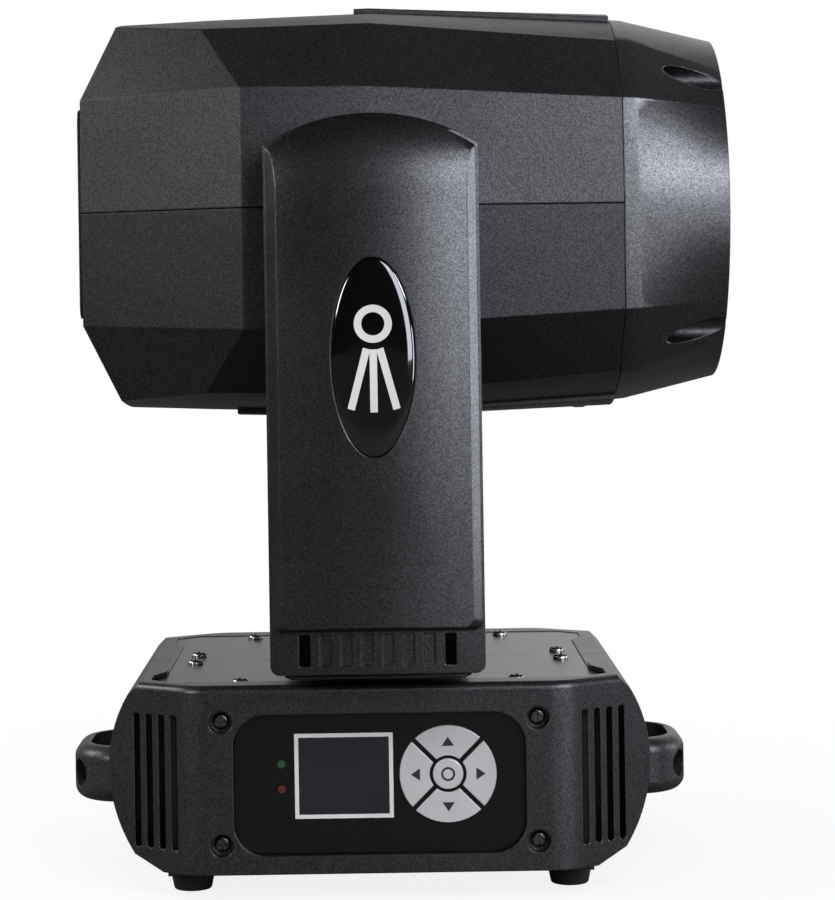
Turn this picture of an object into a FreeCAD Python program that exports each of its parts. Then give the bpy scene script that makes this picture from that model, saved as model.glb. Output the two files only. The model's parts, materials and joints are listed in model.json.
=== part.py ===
import FreeCAD, Part
import math
import os
from FreeCAD import Vector

# Moving-head stage light: base, panning yoke, tilting head.
# X runs towards the lens when the head is level, Y from the display to the sockets, Z up.
# The origin lies on the pan axis, on the underside of the base chassis.
# All lengths are in millimetres.

# Common values
WALL = 2.5
SHEET = 2.0
GAP = 0.3
RUNNING = 0.05
OVERRUN = 5.0
HALF_TURN = 180
QUARTER_TURN = 90
FULL_TURN = 360
PARALLEL_SHARE = 0.9

# Overall places
FOOT_HEIGHT = 10.0
BASE_TOP = 100.0
TILT_HEIGHT = 353.0

# Head shell
HEAD_HALF_WIDTH = 125.0
HEAD_HALF_HEIGHT = 112.5
HEAD_REAR = 157.0
HEAD_SEAM = 134.0
CREASE_SIDE = 68.0
CREASE_TOP = 90.0
CHAMFER_TOP = 135.0
RIM_PLACE = 192.0
RIM_RADIUS = 95.0
COLLAR_LENGTH = 7.5
PARTING_GAP = 0.5
HUMP_RISE = 2.8
HUMP_HALF_WIDTH = 36.0
UPPER_HUMP_BACK = -8.0
LOWER_HUMP_BACK = -76.0
HEAD_SCREW_RECESS_RADIUS = 6.5
HEAD_SCREW_RECESS_DEPTH = 2.0
SHELL_SCREW_SHARE = 0.87

# Head sections, as shares of the half width and half height:
# side middle, side corner (across, up), top corner (across, up), crown
REAR_SHARES = (0.620, 0.592, 0.542, 0.380, 0.925, 0.950)
CREASE_SHARES = (1.000, 0.966, 0.565, 0.700, 0.868, 0.975)
MIDDLE_SHARES = (1.000, 0.966, 0.560, 0.704, 0.884, 1.000)
SEAM_SHARES = (0.896, 0.864, 0.498, 0.584, 0.796, 0.958)
COLLAR_SHARES = (0.886, 0.854, 0.496, 0.580, 0.790, 0.952)

# Bezel, lens and their screws
BEZEL_WALL = 3.0
BEZEL_LIP = 6.0
LENS_RADIUS = 82.0
LENS_EDGE = 5.0
LENS_CROWN = 7.0
LENS_PLACE = 181.0
SCOOP_RADIUS = 6.8
SCOOP_START = 157.0
SCOOP_ORBIT = 101.0
SCOOP_ANGLES = (42.5, 137.5, 222.5, 317.5)
RIM_CORNER_ANGLES = (0.0, 33.0, 51.0)
BARREL_WALL = 2.0

# Rear cover and head fan
REAR_COVER_HALF_WIDTH = 70.0
REAR_COVER_HALF_HEIGHT = 57.0
REAR_COVER_STEP = 3.0
REAR_COVER_LIP = 1.8
REAR_COVER_CORNER = 8.0
GRILLE_RADIUS = 42.0
GRILLE_RINGS = 5
GRILLE_SLOT = 4.5
FAN_SIZE = 92.0
FAN_DEPTH = 18.0
FAN_BORE_RADIUS = 43.0
FAN_HUB_RADIUS = 16.0
FAN_BLADES = 7
FAN_BLADE_THICKNESS = 1.4
FAN_PITCH = 35.0
FAN_AXLE_RADIUS = 2.0
FAN_ROTOR_SHARE = 0.7
FAN_TIP_GAP = 0.8
FAN_STRUTS = 3

# Head chassis and light path
CHASSIS_SIDE_ROOM = 27.0
CHASSIS_HALF_WIDTH = HEAD_HALF_WIDTH - CHASSIS_SIDE_ROOM
CHASSIS_HALF_LENGTH = 75.0
CHASSIS_HALF_HEIGHT = 40.0
BULKHEAD_HALF_HEIGHT = 62.0
CHASSIS_PLATE = 2.5
SHELL_POST_RADIUS = 5.0
SHELL_POST_ALONG = 48.0
SHELL_POST_UP = 30.0
WHEEL_WALL_PLACE = -25.0
LIGHT_HOLE_RADIUS = 17.0
FRONT_HOLE_RADIUS = 46.0
SINK_LENGTH = 34.0
SINK_SIZE = 96.0
SINK_BASE = 7.0
SINK_FINS = 15
SINK_FIN_THICKNESS = 1.6
ENGINE_SIZE = 44.0
ENGINE_DEPTH = 5.0
ENGINE_DOME_RADIUS = 9.0
WHEEL_RADIUS = 44.0
WHEEL_PITCH_RADIUS = 31.0
WHEEL_THICKNESS = 1.5
WHEEL_HOLES = 8
WHEEL_HOLE_RADIUS = 9.0
PATTERN_HOLE_SHARE = 0.6
WHEEL_HUB_RADIUS = 9.0
WHEEL_HUB_LENGTH = 4.0
WHEEL_SHAFT_RADIUS = 2.5
COLOUR_WHEEL_PLACE = -60.0
PATTERN_WHEEL_PLACE = -46.0
WHEEL_MOTOR_SIZE = 28.0
WHEEL_MOTOR_LENGTH = 22.0
FOCUS_RING_RADIUS = 33.0
FOCUS_LENS_RADIUS = 28.0
FOCUS_RING_DEPTH = 12.0
FOCUS_PLACE = 26.0
FOCUS_BOSS_RADIUS = 7.0
GUIDE_ROD_RADIUS = 3.0
GUIDE_ROD_ACROSS = 42.0
ROD_SEAT = 8.0

# Tilt axis
AXLE_RADIUS = 12.0
AXLE_BORE_RADIUS = 8.0
AXLE_FLANGE_RADIUS = 26.0
AXLE_FLANGE_THICKNESS = 4.0
AXLE_COLLAR_RADIUS = 20.0
TILT_BEARING_RADIUS = 19.0
TILT_BEARING_WIDTH = 8.0
TILT_PULLEY_RADIUS = 28.0
TILT_MOTOR_PULLEY_RADIUS = 8.0
BELT_WIDTH = 6.0
BELT_THICKNESS = 1.4
PULLEY_FLANGE = 2.2
PULLEY_FLANGE_THICKNESS = 1.0
PULLEY_SIDE_ROOM = 5.0
MOTOR_SIZE = 42.0
MOTOR_CORNER = 4.0
MOTOR_SHAFT_RADIUS = 2.5
TILT_MOTOR_ROOM = 23.5

# Arms of the yoke
ARM_CLEARANCE = 4.0
ARM_DEPTH = 36.0
ARM_BEVEL_DEPTH = 7.0
ARM_CROWN_RISE = 2.4
ARM_FALL_RADIUS = 80.0
ARM_FALL_RISE = 7.0
ARM_ENVELOPE_SWEEP = 16.0
ARM_INNER = HEAD_HALF_WIDTH + ARM_CLEARANCE
ARM_SPLIT = ARM_INNER + ARM_DEPTH / 2
ARM_OUTER = ARM_INNER + ARM_DEPTH
ARM_BEVEL_FACE = ARM_OUTER - ARM_BEVEL_DEPTH
ARM_HALF_WIDTH = 55.0
ARM_BOTTOM = 112.5
ARM_SHOULDER_RISE = 30.0
ARM_ARCH_RISE = 16.5
ARM_SHOULDER = TILT_HEIGHT + ARM_SHOULDER_RISE
ARM_TOP = ARM_SHOULDER + ARM_ARCH_RISE
ARM_FACE_INSET = 8.0
ARM_FACE_BOTTOM = 137.0
ARM_FACE_FOOT = 134.5
ARM_CORNER = 5.0
ARM_SLOT_PITCH = 10.65
ARM_SLOTS = 8
ARM_SLOT_WIDTH = 5.6
ARM_SLOT_BOTTOM = 117.0
ARM_SLOT_TOP = 133.0
ARM_SLOT_DEPTH = 1.5
BADGE_DROP = 78.5
BADGE_HALF_WIDTH = 21.5
BADGE_HALF_HEIGHT = 51.0
BADGE_DEPTH = 2.0
BADGE_DOME = 1.6
BADGE_MARGIN = 1.2
BADGE_RIM = 0.9
ARM_FACE_LEDGE = 1.2
ARM_PLATE = 3.0
ARM_PLATE_HALF_WIDTH = 40.0
ARM_PLATE_RISE = 27.0
ARM_SCREW_UP_SHARES = (0.12, 0.86)
ARM_SCREW_ACROSS = 40.0
ARM_FOOT = 14.0
TILT_MOTOR_DEPTH = ARM_DEPTH - TILT_MOTOR_ROOM
TILT_MOTOR_DROP = (TILT_HEIGHT - ARM_BOTTOM) / 2
YOKE_BOARD_WIDTH = 60.0
CHIP_HEIGHT = 1.4

# Crossbar and pan axis
CROSSBAR_PLATE = 4.0
CROSSBAR_COVER_TOP = 134.0
CROSSBAR_COVER_BOTTOM = 106.0
CROSSBAR_COVER_SPLIT = 120.0
CROSSBAR_HALF_WIDTH = 50.0
CROSSBAR_END_ROOM = 9.0
CROSSBAR_HALF_LENGTH = ARM_INNER - CROSSBAR_END_ROOM
HUB_RADIUS = 18.0
HUB_BORE_RADIUS = 13.0
HUB_FLANGE_RADIUS = 30.0
HUB_FLANGE_THICKNESS = 3.0
HUB_NUT = 6.0
CROSSBAR_ROUND = 6.0
COLLAR_RADIUS = 40.0
COLLAR_HEIGHT = 2.0
BRACKET_HEIGHT = 56.0
BRACKET_PLATE = 3.0
BRACKET_HALF_WIDTH = 28.0
PAN_BEARING_RADIUS = 27.0
PAN_BEARING_HEIGHT = 10.0
PAN_PULLEY_RADIUS = 38.0
PAN_MOTOR_PULLEY_RADIUS = 9.0
PAN_MOTOR_PLACE = 76.0
PAN_MOTOR_LENGTH = 34.0

# Base body
BASE_FRONT = 125.0
FACE_HALF_WIDTH = 98.0
WING_WIDTH = 46.5
WING_STEP = 9.0
BASE_HALF_WIDTH = FACE_HALF_WIDTH + WING_WIDTH
BASE_WAIST = 115.0
WAIST_HALF_LENGTH = 65.0
WING_BACK = 52.0
WING_CORNER_ACROSS = BASE_HALF_WIDTH - WING_STEP
WING_SHOULDER = 67.0
CORNER_BACK = 95.0
MOULDING_TOP = 103.0
MOULDING_BOTTOM = 4.0
MOULDING_TOP_BOW = 11.0
MOULDING_FOOT_BOW = 14.0
MOULDING_TOP_HALF_WIDTH = BASE_HALF_WIDTH - MOULDING_TOP_BOW
MOULDING_FOOT_HALF_WIDTH = BASE_HALF_WIDTH - MOULDING_FOOT_BOW
MOULDING_FOOT_HEIGHT = 12.0
MOULDING_FOOT_INSET = 16.0
MOULDING_TOP_STEP = 7.0
MOULDING_ROUND = 4.0
MOULDING_FLUSH = 0.4
RAIL_HEIGHT = 15.0
FACE_ROUND = 30.0
PLATE_MARGIN = 23.5
PLATE_FLARE_ACROSS = BASE_HALF_WIDTH - PLATE_MARGIN
PLATE_FLARE_BACK = 80.0
PLATE_CORNER_BACK = 97.0
PLATE_CUT = 13.0
PLATE_FRONT_ACROSS = PLATE_FLARE_ACROSS - PLATE_CUT
PLATE_FRONT = 108.0
CHASSIS_DEPTH = 106.0
CHASSIS_LIP = 16.0
VENT_SLOTS = 4
VENT_PITCH = 6.8
VENT_MARGIN = 10.0
VENT_FIRST = FACE_HALF_WIDTH + VENT_MARGIN
VENT_WIDTH = 3.4
VENT_ROUND = 1.6
VENT_BOTTOM = 16.0
VENT_TOP = 87.0
FOOT_RADIUS = 12.0
FOOT_INSET = 14.0
FOOT_ACROSS = BASE_WAIST - FOOT_INSET
FOOT_ALONG = 88.0
BRACKET_HOLE_ACROSS = 106.0
BRACKET_HOLE_ALONG = 140.0
BRACKET_HOLE_RADIUS = 5.2

# Display side of the base
RECESS_HEIGHT = 74.0
RECESS_CENTRE = 50.6
RECESS_CORNER = 17.0
RECESS_DEPTH = 5.0
FASCIA_THICKNESS = 2.0
DISPLAY_WIDTH = 51.7
DISPLAY_HEIGHT = 44.6
DISPLAY_UP = 54.5
DISPLAY_DEPTH = 5.0
KEY_UP = 54.7
KEY_OUTER_RADIUS = 25.4
KEY_INNER_RADIUS = 9.7
KEY_CENTRE_RADIUS = 8.0
KEY_SPLIT = 2.5
KEY_PROUD = 1.4
KEY_THICKNESS = 2.6
KEY_TRAVEL = 0.8
KEY_STEM_RADIUS = 1.5
KEY_STEM_LENGTH = 3.0
KEY_SEAT_WALL = 1.4
KEY_SEAT_DEPTH = 4.2
BOARD_MARGIN = 6.0
BOARD_THICKNESS = 1.6
SWITCH_SIZE = 6.0
LIGHT_HEIGHTS = (61.0, 47.8)
LIGHT_RADIUS = 2.1
LIGHT_MARGIN = 25.0
DISPLAY_MARGIN = 6.85
KEY_MARGIN = 3.35
RECESS_MARGIN = 15.3
RECESS_WIDTH = (LIGHT_MARGIN + DISPLAY_MARGIN + DISPLAY_WIDTH + KEY_MARGIN + KEY_OUTER_RADIUS * 2
                + RECESS_MARGIN)
LIGHT_ACROSS = LIGHT_MARGIN - RECESS_WIDTH / 2
DISPLAY_ACROSS = LIGHT_ACROSS + DISPLAY_MARGIN + DISPLAY_WIDTH / 2
KEY_ACROSS = RECESS_WIDTH / 2 - RECESS_MARGIN - KEY_OUTER_RADIUS
FACE_SCREW_MARGIN = 6.5
FACE_SCREW_ACROSS = RECESS_WIDTH / 2 + FACE_SCREW_MARGIN
FACE_SCREW_HEIGHTS = (84.0, 19.5)
FACE_SCREW_WELL_RADIUS = 6.0
FACE_SCREW_WELL_DEPTH = 7.0
SCREW_HEAD_RADIUS = 4.3
SCREW_HEAD_HEIGHT = 2.6
SCREW_RADIUS = 2.0
SCREW_LENGTH = 9.0
SCREW_SLOT_WIDTH = 1.2
SCREW_SLOT_SHARE = 0.7
TOP_SCREW_PLACES = ((74.0, 94.0), (103.0, 16.0))

# Handles
HANDLE_DEPTH = 57.0
HANDLE_REACH = BASE_WAIST + HANDLE_DEPTH
HANDLE_HALF_LENGTH = 38.0
HANDLE_BAND = 9.0
HANDLE_BOTTOM = 26.0
HANDLE_TOP = 57.0
HANDLE_ROUND = 28.0
HANDLE_EDGE = 7.5
ROPE_HOLE_RADIUS = 7.5
ROPE_HOLE_ANGLE = 29.0
HANDLE_PAD = 7.0
LOUVRE_SHARE = 0.8

# Socket side of the base
SOCKET_PANEL_HALF_WIDTH = 74.0
SOCKET_PANEL_BOTTOM = 22.0
SOCKET_PANEL_TOP = 90.0
SOCKET_PANEL_CORNER = 10.0
SOCKET_HEIGHT = 56.0
SIGNAL_SOCKET_PLACES = (-56.0, -26.0)
SIGNAL_SOCKET_RADIUS = 11.5
SIGNAL_SOCKET_FLANGE = 26.0
SIGNAL_SOCKET_TALL = 31.0
SIGNAL_SOCKET_DEPTH = 22.0
SIGNAL_CAVITY_RADIUS = 9.3
SIGNAL_CAVITY_DEPTH = 16.0
SIGNAL_PIN_RADIUS = 1.1
SIGNAL_PIN_LENGTH = 9.0
SIGNAL_PIN_ORBIT = 4.5
SIGNAL_PINS = 3
FLANGE_THICKNESS = 1.8
INLET_ACROSS = 52.0
INLET_WIDTH = 27.0
INLET_HEIGHT = 20.0
INLET_EAR = 8.0
INLET_DEPTH = 22.0
INLET_CAVITY_WIDTH = 22.5
INLET_CAVITY_HEIGHT = 15.5
INLET_CAVITY_DEPTH = 17.0
INLET_BLADE_LENGTH = 10.0
INLET_BLADE_WIDTH = 4.0
INLET_BLADE_THICKNESS = 2.0
INLET_BLADE_PITCH = 7.0
FUSE_ACROSS = 22.0
FUSE_RADIUS = 6.0
FUSE_CAP_RADIUS = 8.0
FUSE_CAP_HEIGHT = 6.0
FUSE_DEPTH = 28.0
SWITCH_ACROSS = 0.0
SWITCH_WIDTH = 15.0
SWITCH_HEIGHT = 21.0
SWITCH_DEPTH = 16.0
SWITCH_RIM = 1.6
SWITCH_POCKET = 9.6
ROCKER_SWING = 20.0
ROCKER_PIN_RADIUS = 1.2
ROCKER_END = 4.6
ROCKER_BOW = 3.3
ROCKER_BELLY = 3.5

# Inside the base
SUPPLY_SIZE = (86.0, 60.0, 40.0)
SUPPLY_PLACE = (0.0, 61.0)
BOARD_SIZE = (86.0, 46.0)
BOARD_PLACE = (0.0, -58.0)
STANDOFF_HEIGHT = 6.0
STANDOFF_RADIUS = 3.0
CHIP_PLACE_SHARES = (-0.3, 0, 0.3)
BASE_FAN_SIZE = 60.0
BASE_FAN_DEPTH = 15.0
BASE_FAN_BORE_RADIUS = 28.0
BASE_FAN_HUB_RADIUS = 11.0
BASE_FAN_ALONG = 70.0

ORIGIN = Vector()
X_AXIS = Vector(1, 0, 0)
Y_AXIS = Vector(0, 1, 0)
Z_AXIS = Vector(0, 0, 1)


# Helpers

def block(x, y, z):
    """Box between (low, high) pairs along X, Y and Z."""
    return Part.makeBox(x[1] - x[0], y[1] - y[0], z[1] - z[0], Vector(x[0], y[0], z[0]))


def about(centre, width):
    """The (low, high) pair of a width set about a centre."""
    return (centre - width / 2, centre + width / 2)


def rod(radius, start, end):
    """Cylinder between two points."""
    along = end - start
    return Part.makeCylinder(radius, along.Length, start, along)


def tube(outer, inner, start, end):
    """Hollow cylinder between two points."""
    return rod(outer, start, end).cut(rod(inner, start, end))


def cone(start_radius, end_radius, start, end):
    """Cone between two points."""
    along = end - start
    return Part.makeCone(start_radius, end_radius, along.Length, start, along)


def prism(points, along):
    """Flat outline through points, extruded along a vector."""
    return Part.Face(Part.makePolygon(points + points[:1])).extrude(along)


def plate_outline(points, low, high):
    """Outline in plan, from the low to the high Z."""
    return prism([Vector(x, y, low) for x, y in points], Vector(0, 0, high - low))


def joined(shapes):
    """One solid from shapes that touch or overlap."""
    result = shapes[0].fuse(shapes[1:]) if len(shapes) > 1 else shapes[0]
    return result.removeSplitter()


def group(shapes):
    """Separate solids kept in one node."""
    return Part.makeCompound([solid for shape in shapes for solid in shape.Solids])


def turned(shape, centre, axis, degrees):
    """A copy turned about an axis through a centre."""
    copy = shape.copy()
    copy.rotate(centre, axis, degrees)
    return copy


def rounded_block(x, y, z, radius, axis):
    """Box whose four edges along an axis are rounded."""
    solid = block(x, y, z)
    edges = [edge
             for edge in solid.Edges if abs(edge.tangentAt(edge.FirstParameter).dot(axis)) > PARALLEL_SHARE]
    return solid.makeFillet(radius, edges)


def screw(seat, out, shank):
    """Pan-head screw with a cross recess: its head seats at a point and faces out."""
    head = rod(SCREW_HEAD_RADIUS, seat, seat + out * SCREW_HEAD_HEIGHT)
    rim = [edge for edge in head.Edges
           if edge.CenterOfMass.distanceToPoint(seat) > SCREW_HEAD_HEIGHT / 2 and len(edge.Vertexes) == 1]
    head = head.makeFillet(SCREW_HEAD_HEIGHT * SCREW_SLOT_SHARE, rim)
    body = head.fuse(rod(SCREW_RADIUS, seat - out * shank, seat))
    across = out.cross(X_AXIS) if abs(out.dot(X_AXIS)) < PARALLEL_SHARE else out.cross(Y_AXIS)
    across.normalize()
    other = out.cross(across)
    reach = SCREW_HEAD_RADIUS * SCREW_SLOT_SHARE
    top = seat + out * (SCREW_HEAD_HEIGHT + SCREW_SLOT_WIDTH)
    depth = out * -(SCREW_HEAD_HEIGHT * SCREW_SLOT_SHARE + SCREW_SLOT_WIDTH)
    for along, wide in ((across, other), (other, across)):
        half = wide * (SCREW_SLOT_WIDTH / 2)
        points = [top + along * reach + half, top - along * reach + half,
                  top - along * reach - half, top + along * reach - half]
        body = body.cut(prism(points, depth))
    return body


def save(name, shape):
    """Write one named piece."""
    shape.exportStep("parts/" + name + ".step")


# Head shell

def ring_points(shares):
    """Corner points (across, up) of one head section, in order round the section."""
    side, corner, corner_up, top, top_up, crown = shares
    wide = HEAD_HALF_WIDTH
    tall = HEAD_HALF_HEIGHT
    quarter = [(side * wide, 0), (corner * wide, corner_up * tall), (top * wide, top_up * tall)]
    upper = quarter + [(0, crown * tall)] + [(-y, z) for y, z in reversed(quarter)]
    return upper + [(-y, -z) for y, z in upper[1:-1]]


def inset_points(points, inset):
    """The same outline moved inwards by a wall."""
    moved = []
    for index, point in enumerate(points):
        before = points[index - 1]
        after = points[(index + 1) % len(points)]
        normals = []
        for start, end in ((before, point), (point, after)):
            length = math.hypot(end[0] - start[0], end[1] - start[1])
            normals.append(((start[1] - end[1]) / length, (end[0] - start[0]) / length))
        scale = inset / (1 + normals[0][0] * normals[1][0] + normals[0][1] * normals[1][1])
        moved.append((point[0] + (normals[0][0] + normals[1][0]) * scale,
                      point[1] + (normals[0][1] + normals[1][1]) * scale))
    return moved


def section_wire(shares, side_place, top_place, inset):
    """Closed wire of one head section; the crowned top and bottom are arcs."""
    outline = inset_points(ring_points(shares), inset)
    count = len(outline)
    half = count // 2
    places = [side_place if index % half in (0, 1, half - 1) else top_place for index in range(count)]
    points = [Vector(x, y, z + TILT_HEIGHT) for x, (y, z) in zip(places, outline)]
    crowns = (half // 2, half // 2 + half)
    edges = []
    for index in range(count):
        if index in crowns:
            continue
        end = (index + 1) % count
        if end in crowns:
            edges.append(Part.Arc(points[index], points[end], points[end + 1]).toShape())
        else:
            edges.append(Part.LineSegment(points[index], points[end]).toShape())
    return Part.Wire(edges)


def rim_wire(place, radius):
    """Circle split into as many edges as the seam section."""
    quarter = [math.radians(angle) for angle in RIM_CORNER_ANGLES]
    upper = quarter + [math.pi - angle for angle in reversed(quarter)]
    kept = upper + [math.tau - angle for angle in reversed(upper[1:-1])]
    edges = []
    for index, angle in enumerate(kept):
        end = kept[(index + 1) % len(kept)]
        if end <= angle:
            end += math.tau
        spots = [angle, (angle + end) / 2, end]
        points = [Vector(place, radius * math.cos(a), radius * math.sin(a) + TILT_HEIGHT) for a in spots]
        edges.append(Part.Arc(*points).toShape())
    return Part.Wire(edges)


def rear_chamfer(inset, side):
    """Cutter that slopes the rear end above (side 1) or below (side -1) the rear face."""
    low = Vector(-HEAD_REAR, 0, REAR_SHARES[2] * HEAD_HALF_HEIGHT)
    high = Vector(-CHAMFER_TOP, 0, CREASE_SHARES[5] * HEAD_HALF_HEIGHT)
    along = (high - low).normalize()
    out = Vector(-along.z, 0, along.x)
    low = low - out * inset - along * HEAD_HALF_HEIGHT
    high = low + along * (HEAD_HALF_HEIGHT * 3)
    points = [low, high, high + out * HEAD_HALF_HEIGHT, low + out * HEAD_HALF_HEIGHT]
    points = [Vector(p.x, -HEAD_HALF_WIDTH, side * p.z + TILT_HEIGHT) for p in points]
    return prism(points, Vector(0, HEAD_HALF_WIDTH * 2, 0))


def head_body(inset, rear, front_run):
    """Solid inside the shell's outer face, moved inwards by an inset."""
    wires = [section_wire(REAR_SHARES, rear, rear, inset),
             section_wire(CREASE_SHARES, -CREASE_SIDE, -CREASE_TOP, inset),
             section_wire(MIDDLE_SHARES, 0, 0, inset),
             section_wire(SEAM_SHARES, HEAD_SEAM, HEAD_SEAM, inset)]
    if front_run:
        wires.append(section_wire(SEAM_SHARES, HEAD_SEAM + front_run, HEAD_SEAM + front_run, inset))
    solid = Part.makeLoft(wires, True, True)
    return solid.cut(rear_chamfer(inset, 1)).cut(rear_chamfer(inset, -1))


def head_shell(side):
    """Upper (side 1) or lower (side -1) half of the head casing, with its raised pad and screw posts."""
    outer = head_body(0, -HEAD_REAR, 0)
    hump_back = UPPER_HUMP_BACK if side > 0 else LOWER_HUMP_BACK
    far = HEAD_HALF_HEIGHT * 2
    pad = block((hump_back, HEAD_SEAM), (-HUMP_HALF_WIDTH, HUMP_HALF_WIDTH),
                sorted((TILT_HEIGHT, TILT_HEIGHT + side * far)))
    outer = outer.fuse(head_body(-HUMP_RISE, -HEAD_REAR, 0).common(pad))
    shell = outer.cut(head_body(WALL, WALL - HEAD_REAR, OVERRUN))
    cut_face = TILT_HEIGHT + side * PARTING_GAP / 2
    half = block((-HEAD_REAR - OVERRUN, HEAD_SEAM - GAP), (-far, far),
                 sorted((cut_face, cut_face + side * far)))
    shell = shell.common(half)
    opening = rounded_block((-HEAD_REAR - OVERRUN, WALL * 2 - HEAD_REAR),
                            about(0, (REAR_COVER_HALF_WIDTH - REAR_COVER_STEP) * 2),
                            about(TILT_HEIGHT, (REAR_COVER_HALF_HEIGHT - REAR_COVER_STEP) * 2),
                            REAR_COVER_CORNER, X_AXIS)
    axle_hole = rod(AXLE_COLLAR_RADIUS + GAP, Vector(0, -far, TILT_HEIGHT), Vector(0, far, TILT_HEIGHT))
    shell = shell.cut([opening, axle_hole])
    seat = shell_screw_seat(side)
    hole = rod(SCREW_RADIUS + GAP / 3, seat - Vector(0, 0, side * WALL * 2), seat + Vector(0, 0, side * WALL))
    return shell.cut([screw_recess(side), hole]).removeSplitter()


def shell_screw_seat(side):
    """Where the screw beside the bezel sits in the casing's top or bottom."""
    crown = MIDDLE_SHARES[5] + (SEAM_SHARES[5] - MIDDLE_SHARES[5]) * SHELL_SCREW_SHARE
    lift = crown * HEAD_HALF_HEIGHT + HUMP_RISE
    place = HEAD_SEAM * SHELL_SCREW_SHARE
    return Vector(place, 0, TILT_HEIGHT + side * (lift - HEAD_SCREW_RECESS_DEPTH))


def screw_recess(side):
    """Round recess for that screw, cut only as deep as the raised pad allows."""
    seat = shell_screw_seat(side)
    return rod(HEAD_SCREW_RECESS_RADIUS, seat, seat + Vector(0, 0, side * HEAD_HALF_HEIGHT))


def shell_posts():
    """Places where the chassis carries the casing: along X, up Z."""
    return [(along, up) for along in (-SHELL_POST_ALONG, SHELL_POST_ALONG)
            for up in (-SHELL_POST_UP, SHELL_POST_UP)]


def side_face_at(along, up):
    """Inner half width of the casing near the tilt axis, at a place along X and a height from the axis."""
    lean = (MIDDLE_SHARES[0] - MIDDLE_SHARES[1]) * abs(up) / (MIDDLE_SHARES[2] * HEAD_HALF_HEIGHT)
    taper = (MIDDLE_SHARES[0] - SEAM_SHARES[0]) * max(along, 0) / HEAD_SEAM
    return HEAD_HALF_WIDTH * (MIDDLE_SHARES[0] - lean - taper) - WALL


def front_bezel():
    """Front casing: octagonal at the seam, round at the rim, with four screw scoops."""
    collar = HEAD_SEAM + COLLAR_LENGTH
    outer = Part.makeLoft([section_wire(SEAM_SHARES, HEAD_SEAM, HEAD_SEAM, 0),
                           section_wire(COLLAR_SHARES, collar, collar, 0),
                           rim_wire(RIM_PLACE, RIM_RADIUS)], True, True)
    inner = Part.makeLoft([section_wire(SEAM_SHARES, HEAD_SEAM - OVERRUN, HEAD_SEAM - OVERRUN, BEZEL_WALL),
                           section_wire(COLLAR_SHARES, collar, collar, BEZEL_WALL),
                           rim_wire(RIM_PLACE - BEZEL_LIP, RIM_RADIUS - BEZEL_WALL)], True, True)
    axis = Vector(0, 0, TILT_HEIGHT)
    boss_start = X_AXIS * (SCOOP_START - BEZEL_WALL)
    cuts = [rod(LENS_RADIUS + GAP, axis + X_AXIS * LENS_PLACE, axis + X_AXIS * (RIM_PLACE + OVERRUN))]
    bosses = []
    for spot in scoop_spots():
        bosses.append(rod(SCOOP_RADIUS + BEZEL_WALL, spot + boss_start, spot + X_AXIS * RIM_PLACE))
        cuts.append(rod(SCOOP_RADIUS, spot + X_AXIS * SCOOP_START, spot + X_AXIS * (RIM_PLACE + OVERRUN)))
        cuts.append(rod(SCREW_RADIUS + GAP, spot + X_AXIS * HEAD_SEAM, spot + X_AXIS * RIM_PLACE))
    bosses = [boss.common(outer) for boss in bosses]
    shell = outer.cut(inner).fuse(bosses)
    rim = tube(RIM_RADIUS - BEZEL_WALL, LENS_RADIUS + GAP, axis + X_AXIS * (RIM_PLACE - BEZEL_LIP),
               axis + X_AXIS * RIM_PLACE)
    edge = (RIM_RADIUS - LENS_RADIUS) / 3
    shell = shell.fuse(rim).cut(cuts)
    lead_in = cone(LENS_RADIUS, LENS_RADIUS + edge + OVERRUN, axis + X_AXIS * (RIM_PLACE - edge),
                   axis + X_AXIS * (RIM_PLACE + OVERRUN))
    return shell.cut(lead_in).removeSplitter()


def scoop_spots():
    """Axes of the four bezel screws, as points in the plane of the tilt axis."""
    spots = []
    for angle in SCOOP_ANGLES:
        turn = math.radians(angle)
        spots.append(Vector(0, SCOOP_ORBIT * math.cos(turn), SCOOP_ORBIT * math.sin(turn) + TILT_HEIGHT))
    return spots


def bezel_screws():
    """Four screws at the bottom of the bezel's scoops."""
    shank = SCOOP_START - HEAD_SEAM - GAP
    return group([screw(spot + X_AXIS * (SCOOP_START + GAP / 3), X_AXIS, shank) for spot in scoop_spots()])


def shell_screws():
    """The screws in the top and bottom recesses beside the bezel."""
    shapes = []
    for side in (1, -1):
        out = Vector(0, 0, side)
        shapes.append(screw(shell_screw_seat(side) + out * GAP / 3, out, WALL / 2))
    return group(shapes)


def front_lens():
    """Convex front lens with a flat edge ring, seated in the bezel."""
    axis = Vector(0, 0, TILT_HEIGHT)
    back = axis + X_AXIS * (LENS_PLACE - LENS_EDGE)
    edge = rod(LENS_RADIUS, back, back + X_AXIS * LENS_EDGE)
    ball_radius = (LENS_RADIUS ** 2 + LENS_CROWN ** 2) / (2 * LENS_CROWN)
    ball = Part.makeSphere(ball_radius, back + X_AXIS * (LENS_EDGE + LENS_CROWN - ball_radius))
    cap = ball.common(rod(LENS_RADIUS, back + X_AXIS * LENS_EDGE,
                          back + X_AXIS * (LENS_EDGE + LENS_CROWN * 2)))
    return joined([edge, cap])


def lens_barrel():
    """Tube from the chassis to the front lens."""
    axis = Vector(0, 0, TILT_HEIGHT)
    front = axis + X_AXIS * (LENS_PLACE - LENS_EDGE - GAP)
    back = axis + X_AXIS * (CHASSIS_HALF_LENGTH + GAP)
    barrel = tube(LENS_RADIUS, LENS_RADIUS - BARREL_WALL, back, front)
    ring = tube(LENS_RADIUS, FRONT_HOLE_RADIUS, back, back + X_AXIS * BARREL_WALL)
    return joined([barrel, ring])


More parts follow.
